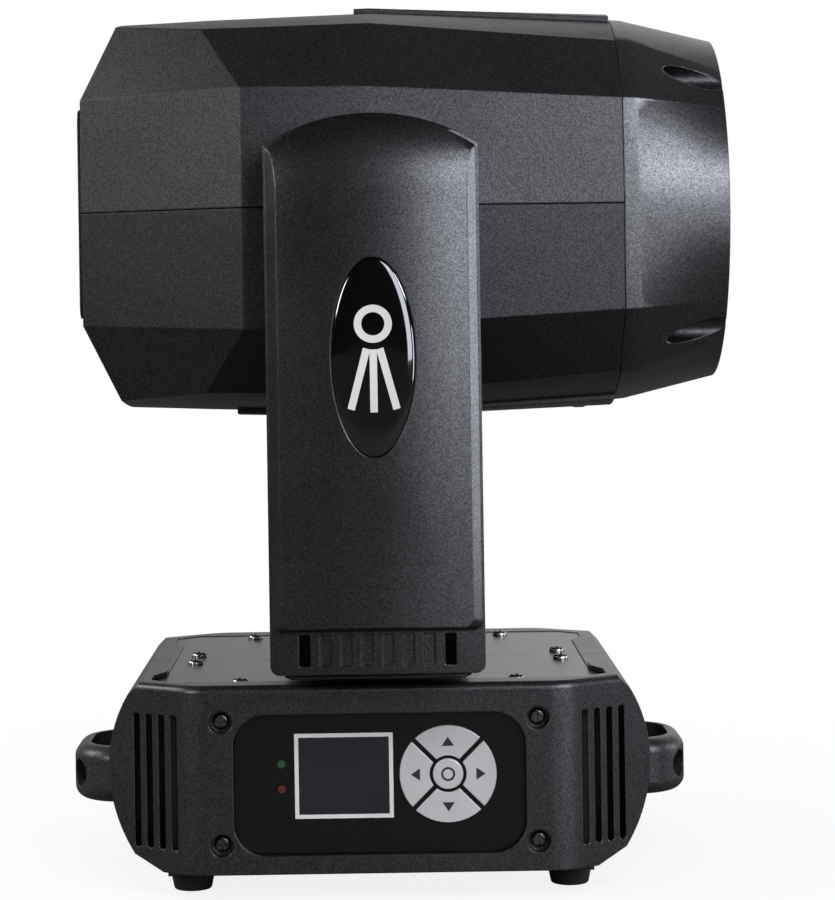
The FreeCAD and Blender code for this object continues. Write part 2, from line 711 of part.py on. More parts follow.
def rear_cover():
    """Flat rear cover with a stepped plug and a ring grille for the fan."""
    face = -HEAD_REAR - GAP
    half_wide = REAR_COVER_HALF_WIDTH
    half_tall = REAR_COVER_HALF_HEIGHT
    step = REAR_COVER_STEP + GAP
    plate = rounded_block((face - REAR_COVER_LIP, face), (-half_wide, half_wide),
                          about(TILT_HEIGHT, half_tall * 2), REAR_COVER_CORNER, X_AXIS)
    plug = rounded_block((face, face + WALL * 2), about(0, (half_wide - step) * 2),
                         about(TILT_HEIGHT, (half_tall - step) * 2), REAR_COVER_CORNER, X_AXIS)
    cover = plate.fuse(plug)
    axis = Vector(0, 0, TILT_HEIGHT)
    start = axis + X_AXIS * (face - REAR_COVER_LIP - OVERRUN)
    end = axis + X_AXIS * (face + WALL * 2 + OVERRUN)
    pitch = (GRILLE_RADIUS - GRILLE_SLOT) / GRILLE_RINGS
    rings = [tube(GRILLE_RADIUS - pitch * index, GRILLE_RADIUS - pitch * index - GRILLE_SLOT, start, end)
             for index in range(GRILLE_RINGS)]
    spoke = block((start.x, end.x), about(0, GRILLE_SLOT), about(TILT_HEIGHT, GRILLE_RADIUS * 2))
    spokes = [turned(spoke, axis, X_AXIS, angle) for angle in range(0, HALF_TURN, HALF_TURN // 4)]
    slots = rings[0].fuse(rings[1:]).cut(spokes)
    return cover.cut(slots).removeSplitter()


def fan_blade(hub, tip, depth, pitch, thickness):
    """One flat fan blade, pitched about its own radius; its axle runs along X."""
    reach = tip - hub / 2
    blade = block(about(0, depth), (hub / 2, hub / 2 + reach), about(0, thickness))
    return turned(blade, ORIGIN, Y_AXIS, pitch)


def fan_rotor(hub, bore, depth):
    """Hub and blades of a fan, centred on the origin, spinning about X."""
    length = depth * FAN_ROTOR_SHARE
    middle = rod(hub, X_AXIS * (-length / 2), X_AXIS * (length / 2))
    tip = bore - FAN_TIP_GAP
    one = fan_blade(hub, tip, length, FAN_PITCH, FAN_BLADE_THICKNESS)
    shapes = [turned(one, ORIGIN, X_AXIS, index * FULL_TURN / FAN_BLADES) for index in range(FAN_BLADES)]
    limit = rod(tip, X_AXIS * (-length / 2), X_AXIS * (length / 2))
    rotor = middle.fuse(shapes).common(limit)
    return rotor.cut(rod(FAN_AXLE_RADIUS + RUNNING, X_AXIS * -depth,
                         X_AXIS * (length / 2 - FAN_BLADE_THICKNESS))).removeSplitter()


def fan_frame(size, depth, bore, hub):
    """Square fan frame with a round duct, a motor plate on struts and an axle, centred on the origin."""
    body = rounded_block(about(0, depth), about(0, size), about(0, size), MOTOR_CORNER, X_AXIS)
    body = body.cut(rod(bore, X_AXIS * -depth, X_AXIS * depth))
    plate_back = X_AXIS * (-depth / 2)
    plate_front = plate_back + X_AXIS * (depth * (1 - FAN_ROTOR_SHARE) / 2 - GAP)
    plate = rod(hub, plate_back, plate_front)
    strut = block((plate_back.x, plate_front.x), about(0, FAN_AXLE_RADIUS * 2), (0, bore + GAP))
    struts = [turned(strut, ORIGIN, X_AXIS, index * FULL_TURN / FAN_STRUTS + HALF_TURN / 4)
              for index in range(FAN_STRUTS)]
    axle = rod(FAN_AXLE_RADIUS, plate_back,
               X_AXIS * (depth * FAN_ROTOR_SHARE / 2 - FAN_BLADE_THICKNESS - GAP))
    return joined([body, plate, axle] + struts)


def head_fan_place():
    """Centre of the head fan, behind the heat sink."""
    return Vector(sink_back() - GAP - FAN_DEPTH / 2, 0, TILT_HEIGHT)


def engine_back():
    """Rear face of the light engine's plate."""
    return -CHASSIS_HALF_LENGTH - ENGINE_DEPTH


def sink_back():
    """Rear ends of the heat sink's fins."""
    return engine_back() - SINK_LENGTH


def heat_sink():
    """Finned block behind the light engine."""
    front = engine_back()
    half = SINK_SIZE / 2
    base = block((front - SINK_BASE, front), (-half, half), about(TILT_HEIGHT, SINK_SIZE))
    pitch = (SINK_SIZE - SINK_FIN_THICKNESS) / (SINK_FINS - 1)
    fins = []
    for index in range(SINK_FINS):
        low = -half + pitch * index
        fins.append(block((sink_back(), front - SINK_BASE + GAP), (low, low + SINK_FIN_THICKNESS),
                          about(TILT_HEIGHT, SINK_SIZE)))
    return joined([base] + fins)


def light_engine():
    """Light-source plate with its domed lens, on the rear bulkhead."""
    axis = Vector(0, 0, TILT_HEIGHT)
    plate = block((engine_back(), -CHASSIS_HALF_LENGTH), about(0, ENGINE_SIZE),
                  about(TILT_HEIGHT, ENGINE_SIZE))
    dome = Part.makeSphere(ENGINE_DOME_RADIUS, axis + X_AXIS * -CHASSIS_HALF_LENGTH)
    dome = dome.common(block((-CHASSIS_HALF_LENGTH - GAP, 0), about(0, ENGINE_SIZE),
                             about(TILT_HEIGHT, ENGINE_SIZE)))
    return joined([plate, dome])


def head_chassis():
    """Frame inside the head: two side plates, three bulkheads, casing posts and fan brackets."""
    axis = Vector(0, 0, TILT_HEIGHT)
    half_long = CHASSIS_HALF_LENGTH
    half_wide = CHASSIS_HALF_WIDTH
    plate = CHASSIS_PLATE
    pieces = []
    for side in (1, -1):
        outer = side * half_wide
        pieces.append(block((-half_long, half_long), sorted((outer, outer - side * plate)),
                            about(TILT_HEIGHT, CHASSIS_HALF_HEIGHT * 2)))
        for along, up in shell_posts():
            foot = Vector(along, outer - side * plate / 2, TILT_HEIGHT + up)
            pieces.append(rod(SHELL_POST_RADIUS, foot,
                              Vector(foot.x, side * (side_face_at(along, up) - GAP * 3), foot.z)))
    for front in (-half_long, WHEEL_WALL_PLACE, half_long - plate):
        pieces.append(block((front, front + plate), (-half_wide, half_wide),
                            about(TILT_HEIGHT, BULKHEAD_HALF_HEIGHT * 2)))
    sink_half = SINK_SIZE / 2 + GAP
    for side in (1, -1):
        pieces.append(block((head_fan_place().x + FAN_DEPTH / 2, -half_long + plate),
                            sorted((side * sink_half, side * (sink_half + plate))),
                            about(TILT_HEIGHT, CHASSIS_HALF_HEIGHT)))
    frame = joined(pieces)
    cuts = [rod(ENGINE_DOME_RADIUS + GAP, axis - X_AXIS * (half_long + OVERRUN),
                axis + X_AXIS * (plate - half_long + OVERRUN)),
            rod(LIGHT_HOLE_RADIUS, axis + X_AXIS * (WHEEL_WALL_PLACE - OVERRUN),
                axis + X_AXIS * (WHEEL_WALL_PLACE + plate + OVERRUN)),
            rod(FRONT_HOLE_RADIUS - ROD_SEAT, axis + X_AXIS * (half_long - plate - OVERRUN),
                axis + X_AXIS * (half_long + OVERRUN))]
    for up in (WHEEL_PITCH_RADIUS, -WHEEL_PITCH_RADIUS):
        centre = axis + Z_AXIS * up + X_AXIS * WHEEL_WALL_PLACE
        cuts.append(rod(WHEEL_SHAFT_RADIUS + GAP, centre - X_AXIS * OVERRUN,
                        centre + X_AXIS * (plate + OVERRUN)))
    cuts.append(rod(AXLE_BORE_RADIUS, axis - Y_AXIS * HEAD_HALF_WIDTH, axis + Y_AXIS * HEAD_HALF_WIDTH))
    return frame.cut(cuts).removeSplitter()


def wheel_motors():
    """The two motors that turn the wheels, on the front of the middle bulkhead."""
    motors = []
    for up in (WHEEL_PITCH_RADIUS, -WHEEL_PITCH_RADIUS):
        front = WHEEL_WALL_PLACE + CHASSIS_PLATE
        body = rounded_block((front, front + WHEEL_MOTOR_LENGTH), about(0, WHEEL_MOTOR_SIZE),
                             about(TILT_HEIGHT + up, WHEEL_MOTOR_SIZE), MOTOR_CORNER, X_AXIS)
        pocket = Vector(front - OVERRUN, 0, TILT_HEIGHT + up)
        motors.append(body.cut(rod(WHEEL_SHAFT_RADIUS + RUNNING, pocket,
                                   pocket + X_AXIS * (WHEEL_MOTOR_LENGTH))))
    return group(motors)


def wheel(place, up, hole_radius):
    """Disc with a ring of holes, its hub and the shaft that runs into its motor."""
    centre = Vector(place, 0, TILT_HEIGHT + up)
    back = centre - X_AXIS * (WHEEL_THICKNESS / 2)
    disc = rod(WHEEL_RADIUS, back, back + X_AXIS * WHEEL_THICKNESS)
    holes = []
    for index in range(WHEEL_HOLES):
        turn = math.tau * index / WHEEL_HOLES
        offset = Vector(0, math.sin(turn), math.cos(turn)) * WHEEL_PITCH_RADIUS
        holes.append(rod(hole_radius, back + offset - X_AXIS * OVERRUN, back + offset + X_AXIS * OVERRUN))
    hub = rod(WHEEL_HUB_RADIUS, back, back + X_AXIS * WHEEL_HUB_LENGTH)
    shaft_end = WHEEL_WALL_PLACE + CHASSIS_PLATE + WHEEL_MOTOR_LENGTH / 2
    shaft = rod(WHEEL_SHAFT_RADIUS, back, Vector(shaft_end, 0, centre.z))
    return joined([disc.cut(holes), hub, shaft])


def guide_rods():
    """Two rods that carry the focus carriage between the bulkheads."""
    start = WHEEL_WALL_PLACE + CHASSIS_PLATE
    end = CHASSIS_HALF_LENGTH - CHASSIS_PLATE
    return group([rod(GUIDE_ROD_RADIUS, Vector(start, side * GUIDE_ROD_ACROSS, TILT_HEIGHT),
                      Vector(end, side * GUIDE_ROD_ACROSS, TILT_HEIGHT)) for side in (1, -1)])


def focus_carriage():
    """Lens ring that slides on the guide rods."""
    centre = Vector(FOCUS_PLACE, 0, TILT_HEIGHT)
    half = X_AXIS * (FOCUS_RING_DEPTH / 2)
    ring = rod(FOCUS_RING_RADIUS, centre - half, centre + half)
    pieces = [ring]
    bores = [rod(FOCUS_LENS_RADIUS + RUNNING, centre - half * 2, centre + half * 2)]
    for side in (1, -1):
        boss = centre + Y_AXIS * (side * GUIDE_ROD_ACROSS)
        pieces.append(rod(FOCUS_BOSS_RADIUS, boss - half, boss + half))
        pieces.append(block(about(FOCUS_PLACE, FOCUS_RING_DEPTH), sorted((boss.y, side * FOCUS_LENS_RADIUS)),
                            about(TILT_HEIGHT, FOCUS_BOSS_RADIUS)))
        bores.append(rod(GUIDE_ROD_RADIUS + RUNNING, boss - half * 2, boss + half * 2))
    return joined(pieces).cut(bores).removeSplitter()


def focus_lens():
    """Double convex lens held in the carriage."""
    centre = Vector(FOCUS_PLACE, 0, TILT_HEIGHT)
    half = FOCUS_RING_DEPTH / 2
    edge = rod(FOCUS_LENS_RADIUS, centre - X_AXIS * half, centre + X_AXIS * half)
    ball_radius = (FOCUS_LENS_RADIUS ** 2 + half ** 2) / (2 * half)
    balls = [Part.makeSphere(ball_radius, centre + X_AXIS * (side * (half - ball_radius)))
             for side in (1, -1)]
    return edge.common(balls[0]).common(balls[1])


# Tilt axis and the pieces in the arms

def tilt_point(across):
    """Point on the tilt axis."""
    return Vector(0, across, TILT_HEIGHT)


def arm_plate_face(side):
    """Outer face of an arm's inner plate."""
    return side * (ARM_INNER + WALL + GAP + ARM_PLATE)


def tilt_axles():
    """Two hollow stub axles with flanges on the head chassis."""
    axles = []
    for side in (1, -1):
        flange = side * (CHASSIS_HALF_WIDTH + GAP / 3)
        end = side * (ARM_OUTER - WALL - GAP * 6)
        collar = side * (ARM_INNER + WALL)
        pieces = [rod(AXLE_FLANGE_RADIUS, tilt_point(flange),
                      tilt_point(flange + side * AXLE_FLANGE_THICKNESS)),
                  rod(AXLE_COLLAR_RADIUS, tilt_point(flange), tilt_point(collar)),
                  rod(AXLE_RADIUS, tilt_point(flange), tilt_point(end))]
        bore = rod(AXLE_BORE_RADIUS, tilt_point(flange - side * OVERRUN), tilt_point(end + side * OVERRUN))
        axles.append(joined(pieces).cut(bore))
    return group(axles)


def pulley_place():
    """Middle of the tilt belt, measured out from the pan axis."""
    return ARM_OUTER - WALL - PULLEY_SIDE_ROOM - PULLEY_FLANGE_THICKNESS - BELT_WIDTH / 2 - GAP


def pulley(radius, bore, centre, axis):
    """Belt pulley between two thin flanges."""
    half = BELT_WIDTH / 2 + GAP
    edge = half + PULLEY_FLANGE_THICKNESS
    core = rod(radius, centre - axis * edge, centre + axis * edge)
    flanges = [rod(radius + PULLEY_FLANGE, centre + axis * low, centre + axis * high)
               for low, high in ((-edge, -half), (half, edge))]
    body = joined([core] + flanges)
    return body.cut(rod(bore, centre - axis * (edge + OVERRUN), centre + axis * (edge + OVERRUN)))


def tilt_pulley():
    """Large pulley on the near axle; the belt turns the head through it."""
    return pulley(TILT_PULLEY_RADIUS, AXLE_RADIUS, tilt_point(-pulley_place()), Y_AXIS)


def tilt_motor_point(across):
    """Point on the tilt motor's axis, below the tilt axis in the near arm."""
    return tilt_point(across) - Z_AXIS * TILT_MOTOR_DROP


def tilt_motor():
    """Flat stepping motor on the near arm plate."""
    face = arm_plate_face(-1) - GAP / 3
    centre = tilt_motor_point(0)
    body = rounded_block(about(0, MOTOR_SIZE), (face - TILT_MOTOR_DEPTH, face), about(centre.z, MOTOR_SIZE),
                         MOTOR_CORNER, Y_AXIS)
    bore = rod(MOTOR_SHAFT_RADIUS + RUNNING, tilt_motor_point(face - TILT_MOTOR_DEPTH - OVERRUN),
               tilt_motor_point(face - GAP * 2))
    return body.cut(bore)


def tilt_motor_pulley():
    """Motor pulley with the motor shaft it sits on."""
    centre = tilt_motor_point(-pulley_place())
    wheel_part = pulley(TILT_MOTOR_PULLEY_RADIUS, MOTOR_SHAFT_RADIUS - RUNNING, centre, Y_AXIS)
    edge = BELT_WIDTH / 2 + GAP + PULLEY_FLANGE_THICKNESS
    inner = tilt_motor_point(arm_plate_face(-1) - GAP * 4)
    shaft = rod(MOTOR_SHAFT_RADIUS, inner, centre - Y_AXIS * edge)
    return joined([wheel_part, shaft])


def belt(large, small, centre, other, axis):
    """Flat belt round two pulleys."""
    apart = other - centre
    distance = apart.Length
    along = apart.normalize()
    across = axis.cross(along)
    half = axis * (BELT_WIDTH / 2)

    def loop(extra):
        """Outline round both circles, grown by an extra."""
        big = large + extra
        little = small + extra
        lean = math.acos((big - little) / distance)
        points = []
        for radius, base in ((big, centre), (little, other)):
            for turn in (lean, -lean):
                points.append(base + along * (radius * math.cos(turn)) + across * (radius * math.sin(turn)))
        top_big, low_big, top_little, low_little = points
        edges = [Part.Arc(top_big, centre - along * big, low_big).toShape(),
                 Part.LineSegment(low_big, low_little).toShape(),
                 Part.Arc(low_little, other + along * little, top_little).toShape(),
                 Part.LineSegment(top_little, top_big).toShape()]
        face = Part.Face(Part.Wire(edges))
        face.translate(-half)
        return face.extrude(half * 2)

    return loop(GAP + BELT_THICKNESS).cut(loop(GAP))


def tilt_belt():
    """Belt between the tilt motor pulley and the tilt pulley."""
    return belt(TILT_PULLEY_RADIUS, TILT_MOTOR_PULLEY_RADIUS, tilt_point(-pulley_place()),
                tilt_motor_point(-pulley_place()), Y_AXIS)


def tilt_bearings():
    """Flanged bushes on both arm plates; the axles turn in them."""
    bushes = []
    for side in (1, -1):
        face = arm_plate_face(side)
        bush = rod(TILT_BEARING_RADIUS, tilt_point(face + side * GAP / 3),
                   tilt_point(face + side * TILT_BEARING_WIDTH))
        neck = rod(AXLE_RADIUS + WALL, tilt_point(face - side * ARM_PLATE), tilt_point(face + side * GAP))
        bore = rod(AXLE_RADIUS + RUNNING, tilt_point(0), tilt_point(side * ARM_OUTER))
        bushes.append(joined([bush, neck]).cut(bore))
    return group(bushes)


def arm_plate(side):
    """Steel plate that carries one side of the head, with a foot on the crossbar."""
    face = arm_plate_face(side)
    inner = face - side * ARM_PLATE
    bottom = crossbar_low() + CROSSBAR_PLATE + GAP / 3
    half = ARM_PLATE_HALF_WIDTH
    wall = rounded_block((-half, half), sorted((inner, face)), (bottom, TILT_HEIGHT + ARM_PLATE_RISE),
                         half / 4, Y_AXIS)
    square = block((-half, half), sorted((inner, face)), (bottom, bottom + half))
    foot = block((-half, half), sorted((inner - side * ARM_FOOT, face)), (bottom, bottom + ARM_PLATE))
    cuts = [rod(AXLE_RADIUS + WALL + GAP / 3, tilt_point(0), tilt_point(side * ARM_OUTER))]
    for drop in (TILT_MOTOR_DROP / 2, TILT_MOTOR_DROP + TILT_MOTOR_DROP / 2):
        spot = tilt_point(0) - Z_AXIS * drop
        cuts.append(rod(half / 3, spot, spot + Y_AXIS * (side * ARM_OUTER)))
    return joined([wall, square, foot]).cut(cuts)


def arm_outline(inset, bottom):
    """Edges of an arm's outline in X and Z at Y = 0: rounded foot, straight sides, shallow arched top."""
    half = ARM_HALF_WIDTH - inset
    foot = bottom + inset
    shoulder = ARM_SHOULDER - inset
    inward = half - ARM_CORNER
    short = ARM_CORNER * (1 - math.sqrt(0.5))
    edges = [Part.LineSegment(Vector(-inward, 0, foot), Vector(inward, 0, foot)),
             Part.Arc(Vector(inward, 0, foot), Vector(half - short, 0, foot + short),
                      Vector(half, 0, foot + ARM_CORNER)),
             Part.LineSegment(Vector(half, 0, foot + ARM_CORNER), Vector(half, 0, shoulder)),
             Part.Arc(Vector(half, 0, shoulder), Vector(0, 0, ARM_TOP - inset), Vector(-half, 0, shoulder)),
             Part.LineSegment(Vector(-half, 0, shoulder), Vector(-half, 0, foot + ARM_CORNER)),
             Part.Arc(Vector(-half, 0, foot + ARM_CORNER), Vector(short - half, 0, foot + short),
                      Vector(-inward, 0, foot))]
    return Part.Wire([edge.toShape() for edge in edges])


def arm_slice(inset, bottom, near, far):
    """The outline as a slab between two distances from the pan axis."""
    low, high = sorted((near, far))
    wire = arm_outline(inset, bottom)
    wire.translate(Y_AXIS * low)
    return Part.Face(wire).extrude(Y_AXIS * (high - low))


def arm_taper(near_inset, far_inset, bottom_near, bottom_far, near, far):
    """The outline tapering from one distance to another."""
    wires = []
    for inset, bottom, place in ((near_inset, bottom_near, near), (far_inset, bottom_far, far)):
        wire = arm_outline(inset, bottom)
        wire.translate(Y_AXIS * place)
        wires.append(wire)
    return Part.makeLoft(wires, True, True)


def arm_envelope(inset, side):
    """Space behind the arm's outer face, which is crowned across and falls back towards the top."""
    face = ARM_OUTER - inset
    bend = TILT_HEIGHT + ARM_FALL_RISE
    centre = ARM_OUTER - ARM_FALL_RADIUS
    radius = ARM_FALL_RADIUS - inset
    lift = ARM_TOP + OVERRUN - bend
    points = []
    for turn in (0, math.asin(lift / radius) / 2, math.asin(lift / radius)):
        points.append(Vector(0, side * (centre + radius * math.cos(turn)), bend + radius * math.sin(turn)))
    back = side * ARM_INNER
    low = Vector(0, side * face, 0)
    edges = [Part.LineSegment(Vector(0, back, 0), low), Part.LineSegment(low, points[0]), Part.Arc(*points),
             Part.LineSegment(points[2], Vector(0, back, points[2].z)),
             Part.LineSegment(Vector(0, back, points[2].z), Vector(0, back, 0))]
    profile = Part.Face(Part.Wire([edge.toShape() for edge in edges]))
    crown_radius = (ARM_HALF_WIDTH ** 2 + ARM_CROWN_RISE ** 2) / (2 * ARM_CROWN_RISE)
    axis = Vector(0, side * (ARM_OUTER - crown_radius), 0)
    profile.rotate(axis, Z_AXIS, -ARM_ENVELOPE_SWEEP / 2)
    return profile.revolve(axis, Z_AXIS, ARM_ENVELOPE_SWEEP)


def arm_outer_solid(inset, side):
    """Outer half of an arm: slab, bevelled edge and raised face."""
    split = ARM_SPLIT if inset else ARM_SPLIT + GAP
    bevel = ARM_BEVEL_FACE - inset
    face = ARM_OUTER - inset
    slab = arm_slice(inset, ARM_BOTTOM, side * (split - inset), side * bevel)
    raised = arm_taper(inset + ARM_FACE_LEDGE, inset + ARM_FACE_INSET, ARM_FACE_FOOT - ARM_FACE_LEDGE,
                       ARM_FACE_BOTTOM - ARM_FACE_INSET, side * bevel, side * face)
    return slab.fuse(raised).common(arm_envelope(inset, side))


def arm_slots(side):
    """Vertical slots under the raised face; the end ones go through the wall."""
    cuts = []
    for index in range(ARM_SLOTS):
        across = (index - (ARM_SLOTS - 1) / 2) * ARM_SLOT_PITCH
        depth = ARM_SLOT_DEPTH if 0 < index < ARM_SLOTS - 1 else WALL + GAP
        cuts.append(block(about(across, ARM_SLOT_WIDTH),
                          sorted((side * (ARM_BEVEL_FACE - depth), side * (ARM_BEVEL_FACE + OVERRUN))),
                          (ARM_SLOT_BOTTOM, ARM_SLOT_TOP)))
    return cuts


def badge_disc(grow, near, far):
    """Upright elliptical disc between two distances from the pan axis."""
    major = BADGE_HALF_HEIGHT + grow
    minor = BADGE_HALF_WIDTH + grow
    curve = Part.Ellipse(ORIGIN, major, minor)
    face = Part.Face(Part.Wire(curve.toShape()))
    face.rotate(ORIGIN, Z_AXIS, QUARTER_TURN)
    face.rotate(ORIGIN, X_AXIS, QUARTER_TURN)
    low, high = sorted((near, far))
    face.translate(Vector(0, low, TILT_HEIGHT - BADGE_DROP))
    return face.extrude(Y_AXIS * (high - low))


def arm_outer_cover(side):
    """Outer cover of one arm."""
    outer = arm_outer_solid(0, side)
    hollow = arm_outer_solid(WALL, side)
    cover = outer.cut(hollow)
    seat = badge_disc(WALL, side * (ARM_OUTER - BADGE_DEPTH - WALL), side * (ARM_OUTER - WALL / 2))
    cover = cover.fuse(seat)
    pocket = badge_disc(GAP / 3, side * (ARM_OUTER - BADGE_DEPTH), side * (ARM_OUTER + OVERRUN))
    return cover.cut([pocket] + arm_slots(side)).removeSplitter()


def arm_badge(side):
    """Domed elliptical plate in the arm's recess."""
    base = side * (ARM_OUTER - BADGE_DEPTH)
    rim = base + side * BADGE_RIM
    disc = badge_disc(-GAP / 3, base, rim)
    radius = (BADGE_HALF_HEIGHT ** 2 + BADGE_DOME ** 2) / (2 * BADGE_DOME)
    top = rim + side * BADGE_DOME
    ball = Part.makeSphere(radius, Vector(0, top - side * radius, TILT_HEIGHT - BADGE_DROP))
    inner = badge_disc(-BADGE_MARGIN, rim, rim + side * BADGE_DOME * 2)
    return joined([disc, inner.common(ball)])


def arm_inner_cover(side):
    """Inner cover of one arm, open for the axle and the crossbar."""
    outer = arm_slice(0, ARM_BOTTOM, side * ARM_INNER, side * ARM_SPLIT)
    rim = [edge for edge in outer.Edges if abs(edge.CenterOfMass.y - side * ARM_INNER) < GAP]
    outer = outer.makeChamfer(ARM_CORNER / 2, rim)
    hollow = arm_slice(WALL, ARM_BOTTOM, side * (ARM_INNER + WALL), side * (ARM_SPLIT + OVERRUN))
    axle = rod(AXLE_COLLAR_RADIUS + GAP, tilt_point(0), tilt_point(side * ARM_OUTER))
    bar = block(about(0, (ARM_PLATE_HALF_WIDTH + GAP) * 2), sorted((0, side * (ARM_INNER + WALL + GAP))),
                (crossbar_low() - GAP, crossbar_low() + CROSSBAR_PLATE + ARM_PLATE + GAP * 2))
    return outer.cut([hollow, axle, bar]).removeSplitter()


def arm_screw_spots():
    """Places of the arm cover screws in X and Z."""
    tall = ARM_SHOULDER - ARM_BOTTOM
    return [(across, ARM_BOTTOM + share * tall) for share in ARM_SCREW_UP_SHARES
            for across in (-ARM_SCREW_ACROSS, ARM_SCREW_ACROSS)]


def arm_screws():
    """Screws that hold the inner arm covers, seen from between the arms."""
    shapes = []
    for side in (1, -1):
        for across, up in arm_screw_spots():
            seat = Vector(across, side * (ARM_INNER - GAP / 3), up)
            shapes.append(screw(seat, Y_AXIS * -side, GAP / 3))
    return group(shapes)


def yoke_board():
    """Driver board in the far arm, on its standoffs."""
    face = arm_plate_face(1) + GAP / 3
    height = TILT_HEIGHT - TILT_MOTOR_DROP
    half = YOKE_BOARD_WIDTH / 2
    board = block((-half, half), (face + STANDOFF_HEIGHT, face + STANDOFF_HEIGHT + BOARD_THICKNESS),
                  about(height, TILT_MOTOR_DROP))
    legs = []
    for across in (-half, half):
        for up in (-TILT_MOTOR_DROP / 2, TILT_MOTOR_DROP / 2):
            spot = Vector(across - math.copysign(STANDOFF_RADIUS, across), face,
                          height + up - math.copysign(STANDOFF_RADIUS, up))
            legs.append(rod(STANDOFF_RADIUS, spot, spot + Y_AXIS * STANDOFF_HEIGHT))
    top = face + STANDOFF_HEIGHT + BOARD_THICKNESS
    chips = [block(about(0, half), (top, top + CHIP_HEIGHT), about(height + up, half / 2))
             for up in (-half, half / 2)]
    return joined([board] + legs + chips)


# Crossbar, pan hub and pan drive

def crossbar_low():
    """Underside of the crossbar, clear of the floors of the arm covers."""
    return ARM_BOTTOM + WALL + GAP


def crossbar():
    """Steel channel across the pan axis that joins the two arm plates."""
    low = crossbar_low()
    top = low + CROSSBAR_PLATE
    half_wide = ARM_PLATE_HALF_WIDTH
    reach = ARM_INNER + WALL + GAP + ARM_PLATE
    plate = block((-half_wide, half_wide), (-reach, reach), (low, top))
    ribs = [block(sorted((side * half_wide, side * (half_wide - SHEET))),
                  (-CROSSBAR_HALF_LENGTH + ARM_FOOT, CROSSBAR_HALF_LENGTH - ARM_FOOT),
                  (low, CROSSBAR_COVER_TOP - WALL - GAP)) for side in (1, -1)]
    bore = rod(HUB_BORE_RADIUS, Z_AXIS * (low - OVERRUN), Z_AXIS * (top + OVERRUN))
    return joined([plate] + ribs).cut(bore)


def crossbar_cover(low, high, floor, ceiling):
    """One half of the crossbar's plastic cover."""
    half_wide = CROSSBAR_HALF_WIDTH
    reach = ARM_INNER - GAP
    outer = rounded_block((-half_wide, half_wide), (-reach, reach), (low, high), CROSSBAR_ROUND, Y_AXIS)
    square_low, square_high = (low + CROSSBAR_ROUND, high) if floor else (low, high - CROSSBAR_ROUND)
    outer = outer.fuse(block((-half_wide, half_wide), (-reach, reach), (square_low, square_high)))
    inner_low = low + WALL if floor else low - OVERRUN
    inner_high = high - WALL if ceiling else high + OVERRUN
    hollow = block((WALL - half_wide, half_wide - WALL), (-reach - OVERRUN, reach + OVERRUN),
                   (inner_low, inner_high))
    return outer.cut(hollow).removeSplitter()


def crossbar_upper_cover():
    """Upper cover under the head."""
    return crossbar_cover(CROSSBAR_COVER_SPLIT + GAP, CROSSBAR_COVER_TOP, False, True)


def crossbar_lower_cover():
    """Lower cover over the base, open round the pan hub."""
    cover = crossbar_cover(CROSSBAR_COVER_BOTTOM, CROSSBAR_COVER_SPLIT, True, False)
    hub = rod(HUB_FLANGE_RADIUS + GAP, Z_AXIS * (CROSSBAR_COVER_BOTTOM - OVERRUN),
              Z_AXIS * CROSSBAR_COVER_SPLIT)
    return cover.cut(hub)


def pan_hub():
    """Hollow shaft under the crossbar, carried by the pan bearing."""
    top = crossbar_low() - GAP / 3
    bottom = BRACKET_HEIGHT - BRACKET_PLATE - HUB_NUT
    shaft = rod(HUB_RADIUS, Z_AXIS * bottom, Z_AXIS * top)
    flange = rod(HUB_FLANGE_RADIUS, Z_AXIS * (top - HUB_FLANGE_THICKNESS), Z_AXIS * top)
    nut = rod(HUB_RADIUS + HUB_NUT, Z_AXIS * bottom, Z_AXIS * (BRACKET_HEIGHT - BRACKET_PLATE - GAP))
    bore = rod(HUB_BORE_RADIUS, Z_AXIS * (bottom - OVERRUN), Z_AXIS * (top + OVERRUN))
    return joined([shaft, flange, nut]).cut(bore)


def pan_pulley_height():
    """Middle height of the pan belt."""
    return BRACKET_HEIGHT + PAN_BEARING_HEIGHT + BELT_WIDTH / 2 + PULLEY_FLANGE_THICKNESS + GAP * 2


def pan_pulley():
    """Large pulley fixed to the pan hub."""
    return pulley(PAN_PULLEY_RADIUS, HUB_RADIUS, Z_AXIS * pan_pulley_height(), Z_AXIS)


def pan_bracket():
    """Bridge across the base that carries the pan bearing and the pan motor."""
    low = BRACKET_HEIGHT - BRACKET_PLATE
    half = BASE_WAIST - SHEET - GAP
    deck = block((-half, half), about(0, BRACKET_HALF_WIDTH * 2), (low, BRACKET_HEIGHT))
    legs = [block(sorted((side * half, side * (half - BRACKET_PLATE))), about(0, BRACKET_HALF_WIDTH * 2),
                  (SHEET + GAP / 3, low)) for side in (1, -1)]
    cuts = [rod(HUB_RADIUS + HUB_NUT / 2, Z_AXIS * (low - OVERRUN), Z_AXIS * (BRACKET_HEIGHT + OVERRUN))]
    spot = X_AXIS * PAN_MOTOR_PLACE
    cuts.append(rod(MOTOR_SHAFT_RADIUS * 2, spot + Z_AXIS * (low - OVERRUN),
                    spot + Z_AXIS * (BRACKET_HEIGHT + OVERRUN)))
    return joined([deck] + legs).cut(cuts)


def pan_bearing():
    """Bearing housing on the bridge; the pan hub turns in it."""
    low = BRACKET_HEIGHT + GAP / 3
    return tube(PAN_BEARING_RADIUS, HUB_RADIUS + RUNNING, Z_AXIS * low,
                Z_AXIS * (BRACKET_HEIGHT + PAN_BEARING_HEIGHT))


